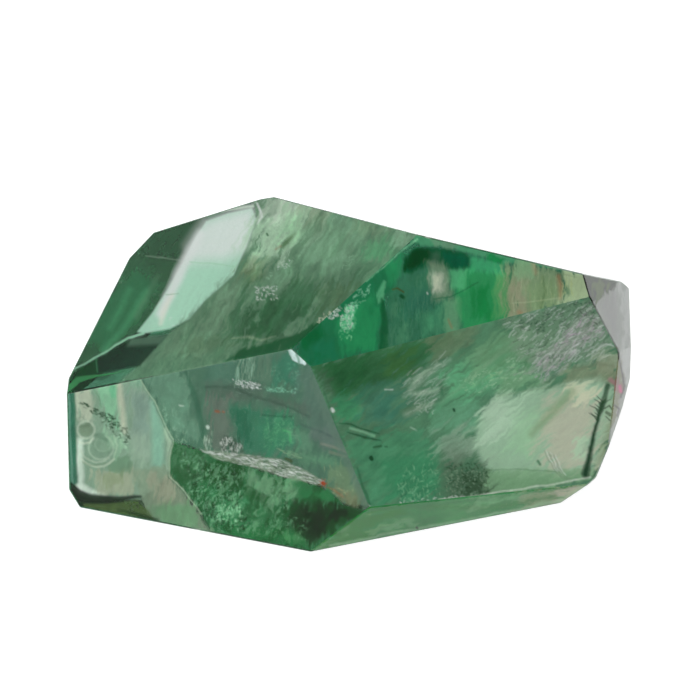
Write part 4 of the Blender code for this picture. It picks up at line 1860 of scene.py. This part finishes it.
# %% Front right flat: the streaks
sheet.strokes([
    ("streak 1", [(330, 398), (364, 372), (402, 350)],
     [2.0, 5.0, 2.0], rgb(40, 80, 50), 0.45, 2.5, 0.3),
    ("streak 2", [(344, 412), (390, 380), (440, 350)],
     [2.0, 4.0, 2.0], rgb(58, 100, 70), 0.40, 2.5, 0.3),
    ("streak 3", [(392, 404), (430, 372), (474, 344)],
     [2.0, 6.0, 2.0], rgb(70, 106, 82), 0.45, 2.5, 0.3),
    ("streak 4", [(404, 396), (426, 376), (450, 360)],
     [3.0, 7.0, 3.0], rgb(142, 158, 142), 0.50, 2.5, 0.4),
    ("streak 5", [(430, 416), (462, 386), (504, 356)],
     [3.0, 7.0, 3.0], rgb(84, 144, 106), 0.45, 2.5, 0.3),
    ("streak 6", [(440, 404), (480, 370), (520, 340)],
     [2.0, 5.0, 2.0], rgb(130, 158, 130), 0.40, 2.5, 0.4),
    ("streak 7", [(466, 386), (502, 356), (540, 330)],
     [2.0, 5.0, 2.0], rgb(82, 122, 92), 0.40, 2.5, 0.4),
    ("streak 8", [(480, 392), (516, 364), (556, 338)],
     [2.0, 4.0, 2.0], rgb(138, 166, 138), 0.40, 2.5, 0.4),
    ("streak 9", [(504, 384), (536, 358), (570, 338)],
     [2.0, 4.0, 2.0], rgb(94, 128, 98), 0.40, 2.5, 0.4),
    ("white smear", [(410, 388), (418, 379), (428, 371), (438, 364)],
     [3.0, 6.0, 4.0, 2.0], rgb(152, 168, 150), 0.60, 3.0, 0.4),
    ("brightest smear", [(411, 393), (422, 393), (432, 391), (440, 387)],
     [2.0, 5.0, 4.0, 2.0], rgb(172, 184, 170), 0.66, 2.6, 0.4),
    ("lower smear", [(406, 414), (418, 409), (432, 403)],
     [4.0, 7.0, 4.0], rgb(140, 154, 136), 0.60, 3.4, 0.4),
    ("notch", [(440, 383), (441, 388), (442.4, 394)],
     [5.0, 4.0, 2.0], rgb(60, 98, 72), 0.82, 1.4, 0.1),
    ("crease", [(424, 376), (432, 370), (440, 363)], 1.2, rgb(80, 106, 84), 0.65, 0.8, 0.1),
    ("second crease", [(412, 404), (424, 402), (434, 398)], 1.2, rgb(80, 108, 86), 0.60, 0.8, 0.2),
])
sheet.sprinkle([
    ("pale scratches", [(404, 376), (446, 352), (450, 392), (408, 420)],
     150, 9.0, 0.8, rgb(186, 198, 184), 0.50, 38, 14),
    ("dark scratches", [(408, 372), (444, 356), (446, 396), (412, 420)],
     56, 8.0, 1.0, rgb(68, 94, 76), 0.50, 35, 16),
    ("curls", [(416, 402), (436, 398), (434, 414), (416, 418)],
     40, 3.0, 0.8, rgb(190, 202, 188), 0.55, 40, 90),
    ("green frost", [(460, 380), (520, 350), (526, 378), (470, 398)],
     200, 4.0, 0.8, rgb(172, 200, 168), 0.60, 35, 24),
    ("green shade", [(460, 380), (520, 350), (526, 378), (470, 398)],
     160, 4.0, 0.9, rgb(66, 116, 82), 0.55, 35, 24),
])
sheet.tell("streaks painted")

# %% [markdown]
# The lace is a web of scratches from the grinding wheel: light, dark and lilac threads over each
# other.

# %% Front right flat: the lace
lace = [(504, 318), (590, 298), (614, 344), (606, 360), (560, 370), (520, 356)]
dark_lace = [(510, 320), (556, 308), (590, 298), (600, 310), (566, 326), (530, 336)]
lilac_lace = [(528, 374), (556, 342), (584, 314), (602, 316), (604, 334), (572, 358), (544, 380)]
sheet.patches([
    ("lace ground", lace, rgb(116, 136, 116), 0.70, 5.0, 0.2),
    ("dark ground", dark_lace, rgb(92, 120, 98), 0.72, 4.0, 0.3),
    ("lilac ground", lilac_lace, rgb(140, 142, 136), 0.55, 6.0, 0.3),
])
sheet.sprinkle([
    ("light threads", lace, 330, 7.0, 0.8, rgb(206, 216, 206), 0.80, 38, 18),
    ("dark threads", lace, 280, 6.0, 0.8, rgb(50, 72, 56), 0.82, 38, 22),
    ("dark dots", dark_lace, 280, 2.6, 1.1, rgb(34, 54, 42), 0.80, 38, 50),
    ("lilac threads", lilac_lace, 240, 6.0, 0.9, rgb(180, 150, 176), 0.76, 42, 22),
    ("white threads", lilac_lace, 120, 5.0, 0.8, rgb(220, 222, 218), 0.80, 42, 30),
    ("rosy threads", [(520, 352), (566, 346), (560, 372), (512, 378)],
     60, 8.0, 0.9, rgb(170, 158, 164), 0.50, 40, 16),
    ("edge dots", [(572, 304), (592, 298), (606, 322), (594, 326)],
     60, 3.0, 1.1, rgb(28, 40, 32), 0.70, -50, 40),
])
sheet.strokes([
    ("pale fold", [(592, 352), (606, 344), (613, 346)], 1.3, rgb(202, 210, 194), 0.65, 0.8, 0.1),
    ("dark fold", [(572, 372), (596, 364), (614, 366)],
     [2.0, 4.0, 2.0], rgb(104, 110, 92), 0.55, 2.0, 0.3),
])
sheet.tell("lace painted")

# %% [markdown]
# The dark twig is a crack with needles on both sides. The needles are drawn in pairs by a loop, and
# the other marks each have a row.

# %% Front right flat: the twig and the small marks
twig = [(608, 386), (604, 402), (598, 417), (593, 436), (589, 456), (585, 474)]
sheet.stroke(twig, [5.0, 6.0, 3.4, 4.0, 5.4, 9.0], rgb(48, 72, 54), 0.90, 1.4, 0.1, 0.4)
sheet.stroke(twig[2:], [1.6, 1.8, 2.0, 4.0], rgb(20, 46, 32), 0.75, 0.9)
first_needle = np.array([603.0, 402.0])
NEEDLE_STEP = np.array([-0.9, 2.2])
NEEDLES = 9
for step in range(NEEDLES):
    root = first_needle + NEEDLE_STEP * step
    lean = 35.0 + 14.0 * math.sin(2.1 * step)
    for side in (-1, 1):
        angle = math.radians(90.0 + side * lean)
        length = 7.0 + 3.0 * math.sin(1.7 * step + side)
        needle = root + length * np.array([1.3 * math.cos(angle), -0.8 * math.sin(angle)])
        sheet.stroke([root, needle], [1.6, 0.6], rgb(46, 66, 48), 0.78, 0.6)
sheet.strokes([
    ("curl", [(605, 408), (610, 405), (615, 412)], 1.4, rgb(54, 70, 50), 0.80, 0.7, 0.0),
    ("second curl", [(606, 416), (611, 421), (614, 428)], 1.2, rgb(60, 78, 58), 0.75, 0.7, 0.0),
    ("knot", [(607, 412), (610, 414)], 3.4, rgb(50, 66, 42), 0.75, 1.0, 0.2),
    ("dark line 1", [(339, 422.5), (351, 424), (362, 429), (369, 431.5), (379, 434)],
     [1.0, 2.2, 1.6, 2.6, 1.0], rgb(42, 78, 56), 0.88, 0.8, 0.1),
    ("dark line 2", [(347, 432), (356, 434.5), (366, 437.5), (381, 441)],
     [1.0, 1.8, 2.6, 1.2], rgb(40, 72, 52), 0.88, 0.8, 0.1),
    ("pale between", [(350, 428), (362, 431.5), (374, 436)], 2.6, rgb(122, 162, 134), 0.70, 1.0, 0.1),
    ("dark line 3", [(374, 447.4), (381, 446.4)], 2.0, rgb(44, 78, 54), 0.82, 0.8, 0.0),
    ("dark line 4", [(385, 447), (387, 447)], 1.6, rgb(48, 82, 58), 0.72, 0.7, 0.0),
    ("dark dot", [(371, 457.4), (371.6, 458.6)], 4.0, rgb(14, 52, 32), 0.95, 0.8, 0.0),
    ("small dot", [(454.2, 409.4), (454.6, 411)], 2.4, rgb(24, 56, 36), 0.92, 0.7, 0.0),
    ("field dot", [(538, 461), (540, 464)], 2.6, rgb(58, 100, 72), 0.80, 0.9, 0.0),
    ("white tick", [(385.6, 389.8), (393, 389.6)], 1.3, PEARL, 0.66, 0.8, 0.3),
    ("white dot", [(332, 409.8), (333, 411)], 3.6, PEARL * 0.85, 0.82, 1.0, 0.0),
    ("pale dots", [(411, 427), (416, 430)], 1.6, rgb(172, 198, 176), 0.55, 1.0, 0.5),
    ("magenta stain", [(619, 386), (620.4, 393)], [5.0, 5.0], MAGENTA, 0.90, 1.3, 0.0),
    ("pink haze", [(610, 380), (619, 386)], [4.0, 5.0], rgb(162, 100, 118), 0.62, 2.0, 0.1),
    ("black line by it", [(621, 377), (621.8, 385)], 2.2, rgb(70, 44, 48), 0.82, 0.9, 0.0),
])
first_fibre = np.array([(545, 452), (549, 462), (556, 470), (562, 477)], float)
NEXT_FIBRE = np.array([4.0, 2.0])
LIGHT_SIDE = np.array([2.0, 0.0])
for turn in range(3):
    fibre = first_fibre + NEXT_FIBRE * turn
    sheet.stroke(fibre, 1.0, rgb(108, 124, 104), 0.55, 0.6, 0.2, 0.8)
    sheet.stroke(fibre[:3] + LIGHT_SIDE, 1.0, rgb(206, 212, 198), 0.55, 0.6, 0.2, 0.8)
print("twig with", NEEDLES, "pairs of needles")

# %% [markdown]
# Thin lines of painted shade and painted highlight run along the edges, and chips glitter at the
# foot, their glitter painted as bright glints.

# %% Front right flat: the edges
sheet.sprinkle([
    ("green net", [(398, 470), (440, 460), (440, 506), (398, 508)],
     110, 3.6, 1.1, rgb(134, 184, 148), 0.55, 60, 70),
    ("dark net", [(396, 474), (440, 462), (440, 506), (398, 508)],
     90, 3.6, 1.1, rgb(30, 82, 56), 0.50, 60, 70),
    # Chips at the foot, with their glitter painted as bright glints.
    ("chips at the foot", [(368, 505), (440, 497), (500, 492), (500, 498), (440, 505), (372, 513)],
     150, 1.8, 1.3, rgb(212, 226, 210), 0.90, 8, 60),
])
sheet.strokes([
    # Painted shade along the edges: the dark end line, the rim line and the two folds by the front
    # left flat.
    ("dark end line",
     [(590, 297), (598, 305), (608, 327), (618, 350), (623, 370), (624, 384), (622, 394)],
     [1.4, 2.4, 2.0, 2.0, 2.0, 1.8, 1.0], rgb(44, 48, 40), 0.90, 0.9, 0.0),
    ("rim line", [(621, 408), (613, 432), (607, 454), (598, 470), (592, 477)],
     1.3, rgb(62, 74, 60), 0.70, 0.8, 0.0),
    ("left fold", [(324, 392), (338, 432), (346, 446)],
     [1.4, 1.6, 1.2], rgb(50, 90, 66), 0.62, 1.1, 0.1),
    ("lower fold", [(357, 468), (363, 486), (370, 504)],
     [1.6, 2.6, 3.0], rgb(46, 86, 62), 0.72, 1.1, 0.1),
    # Painted highlight along the foot edge.
    ("pale foot line", [(439, 500), (470, 497), (500, 492), (540, 486), (590, 477)],
     1.6, rgb(188, 204, 182), 0.75, 0.9, 0.3),
])
sheet.mottle(0.04, 3.0, 38.0, 4.0)
hang_front(sheet, "front_right")

# %% [markdown]
# ## The narrow flats at the foot and the end
#
# Under the front right flat a thin flat catches the light, green at the left and beige at the
# right. The end of the stone was left ground and not polished, so its veil is nearly solid: a
# frosted lilac grey that runs down over the small flats there.

# %% The foot
foot_corners = [(310, 552), (369, 508), (589, 485), (596, 478), (560, 503)]
sheet = front_sheet("foot", foot_corners, grain=12.0, seed=500)
sheet.patches([
    ("green foot", [(300, 560), (364, 504), (600, 468), (600, 496), (430, 545)],
     rgb(96, 142, 106), 0.84, 2.0, 0.1),
    ("light green", [(440, 502), (520, 488), (520, 510), (440, 528)],
     rgb(104, 148, 112), 0.70, 8.0, 0.15),
    ("dark start", [(300, 558), (366, 506), (396, 512), (350, 552)],
     rgb(84, 134, 96), 0.75, 9.0, 0.1),
    ("deep tip", [(304, 558), (330, 536), (344, 540), (330, 554)], rgb(74, 126, 88), 0.70, 6.0, 0.1),
    ("beige foot", [(520, 496), (604, 476), (598, 500), (516, 516)],
     rgb(142, 150, 128), 0.80, 8.0, 0.1),
    ("rosy tip", [(558, 488), (604, 474), (600, 500), (556, 506)],
     rgb(176, 170, 158), 0.72, 6.0, 0.1),
])
sheet.strokes([
    # Painted shade along the upper edge of the foot.
    ("dark upper line", [(369, 510), (430, 505), (500, 497), (560, 489), (590, 484)],
     [3.0, 2.6, 2.0, 1.4, 1.0], rgb(96, 128, 102), 0.60, 1.0, 0.1),
    ("slanting shadow", [(430, 506), (490, 508), (556, 496)],
     [2.0, 5.0, 3.0], rgb(84, 128, 92), 0.60, 3.0, 0.2),
    # Painted highlight along the lower edge of the foot.
    ("light lower line", [(330, 546), (400, 532), (470, 519), (540, 505), (562, 500)],
     2.0, rgb(166, 188, 164), 0.50, 1.6, 0.2),
    ("speck", [(417, 527), (418, 528)], 2.2, INK, 0.85, 0.7, 0.0),
])
sheet.drift(rgb(140, 174, 142), 0.35, 14.0, 0.50, 0.66, 14.0, 3.0)
sheet.mottle(0.08, 3.0, 14.0, 5.0)
hang_front(sheet, "foot")

# %% [markdown]
# Two small flats at the right end share one painting, so the frost runs from one to the other.

# %% The frosted end
end_corner_low = (566, 260)
end_corner_high = (642, 496)
END_SEED = 600
END_SEED_STEP = 20
frosted_end = [(560, 258), (644, 262), (640, 420), (600, 500), (580, 500), (596, 420), (590, 300)]


def frost(seed):
    """The ground end of the stone: lilac grey with a brown and green corner."""
    sheet = Sheet(end_corner_low, end_corner_high, FINE_STEP, "end", 84.0, seed)
    sheet.patches([
        ("frost", frosted_end, FROST, 0.95, 2.0, 0.0),
        ("light strip", [(620, 286), (634, 290), (634, 400), (624, 400)],
         rgb(190, 190, 190), 0.60, 4.0, 0.05),
        ("grey shade", [(600, 300), (612, 296), (618, 340), (612, 338)],
         rgb(156, 154, 156), 0.50, 5.0, 0.05),
        ("brown corner", [(570, 262), (617, 278), (611, 290), (602, 297), (591, 306), (584, 286)],
         rgb(84, 108, 52), 0.97, 2.0, 0.0),
        ("green in the corner", [(590, 282), (606, 284), (602, 296), (594, 300)],
         rgb(120, 136, 104), 0.72, 3.0, 0.2),
        ("green side",
         [(604, 346), (618, 350), (622, 366), (623.5, 382), (621, 396), (613, 420), (600, 476),
          (586, 480), (590, 400)],
         rgb(132, 136, 114), 0.92, 1.4, 0.1),
        ("pink haze", [(610, 376), (622, 378), (622, 394), (612, 392)],
         rgb(152, 110, 116), 0.60, 3.0, 0.1),
    ])
    sheet.strokes([
        # Painted shade: the two dark lines follow the end's top edge and its edge to the upper and
        # front right flats.
        ("dark top line", [(576, 269), (600, 276), (616, 280)], 2.0, rgb(70, 76, 54), 0.75, 1.1, 0.1),
        ("inner line",
         [(583, 272), (590, 296), (600, 318), (610, 338), (618, 352), (622, 370), (624, 386),
          (621, 398)],
         1.8, rgb(44, 48, 40), 0.85, 0.9, 0.0),
        ("magenta stain", [(619.4, 386), (620.4, 392)], [3.0, 3.0], MAGENTA, 0.85, 1.4, 0.0),
        ("curl", [(614, 405), (619, 409), (617, 416)], 1.6, rgb(54, 70, 50), 0.75, 0.9, 0.0),
    ])
    sheet.mottle(0.03, 8.0, 84.0, 3.0)
    return sheet


for number, name in enumerate(("end", "end_low")):
    hang_front(frost(END_SEED + END_SEED_STEP * number), name)
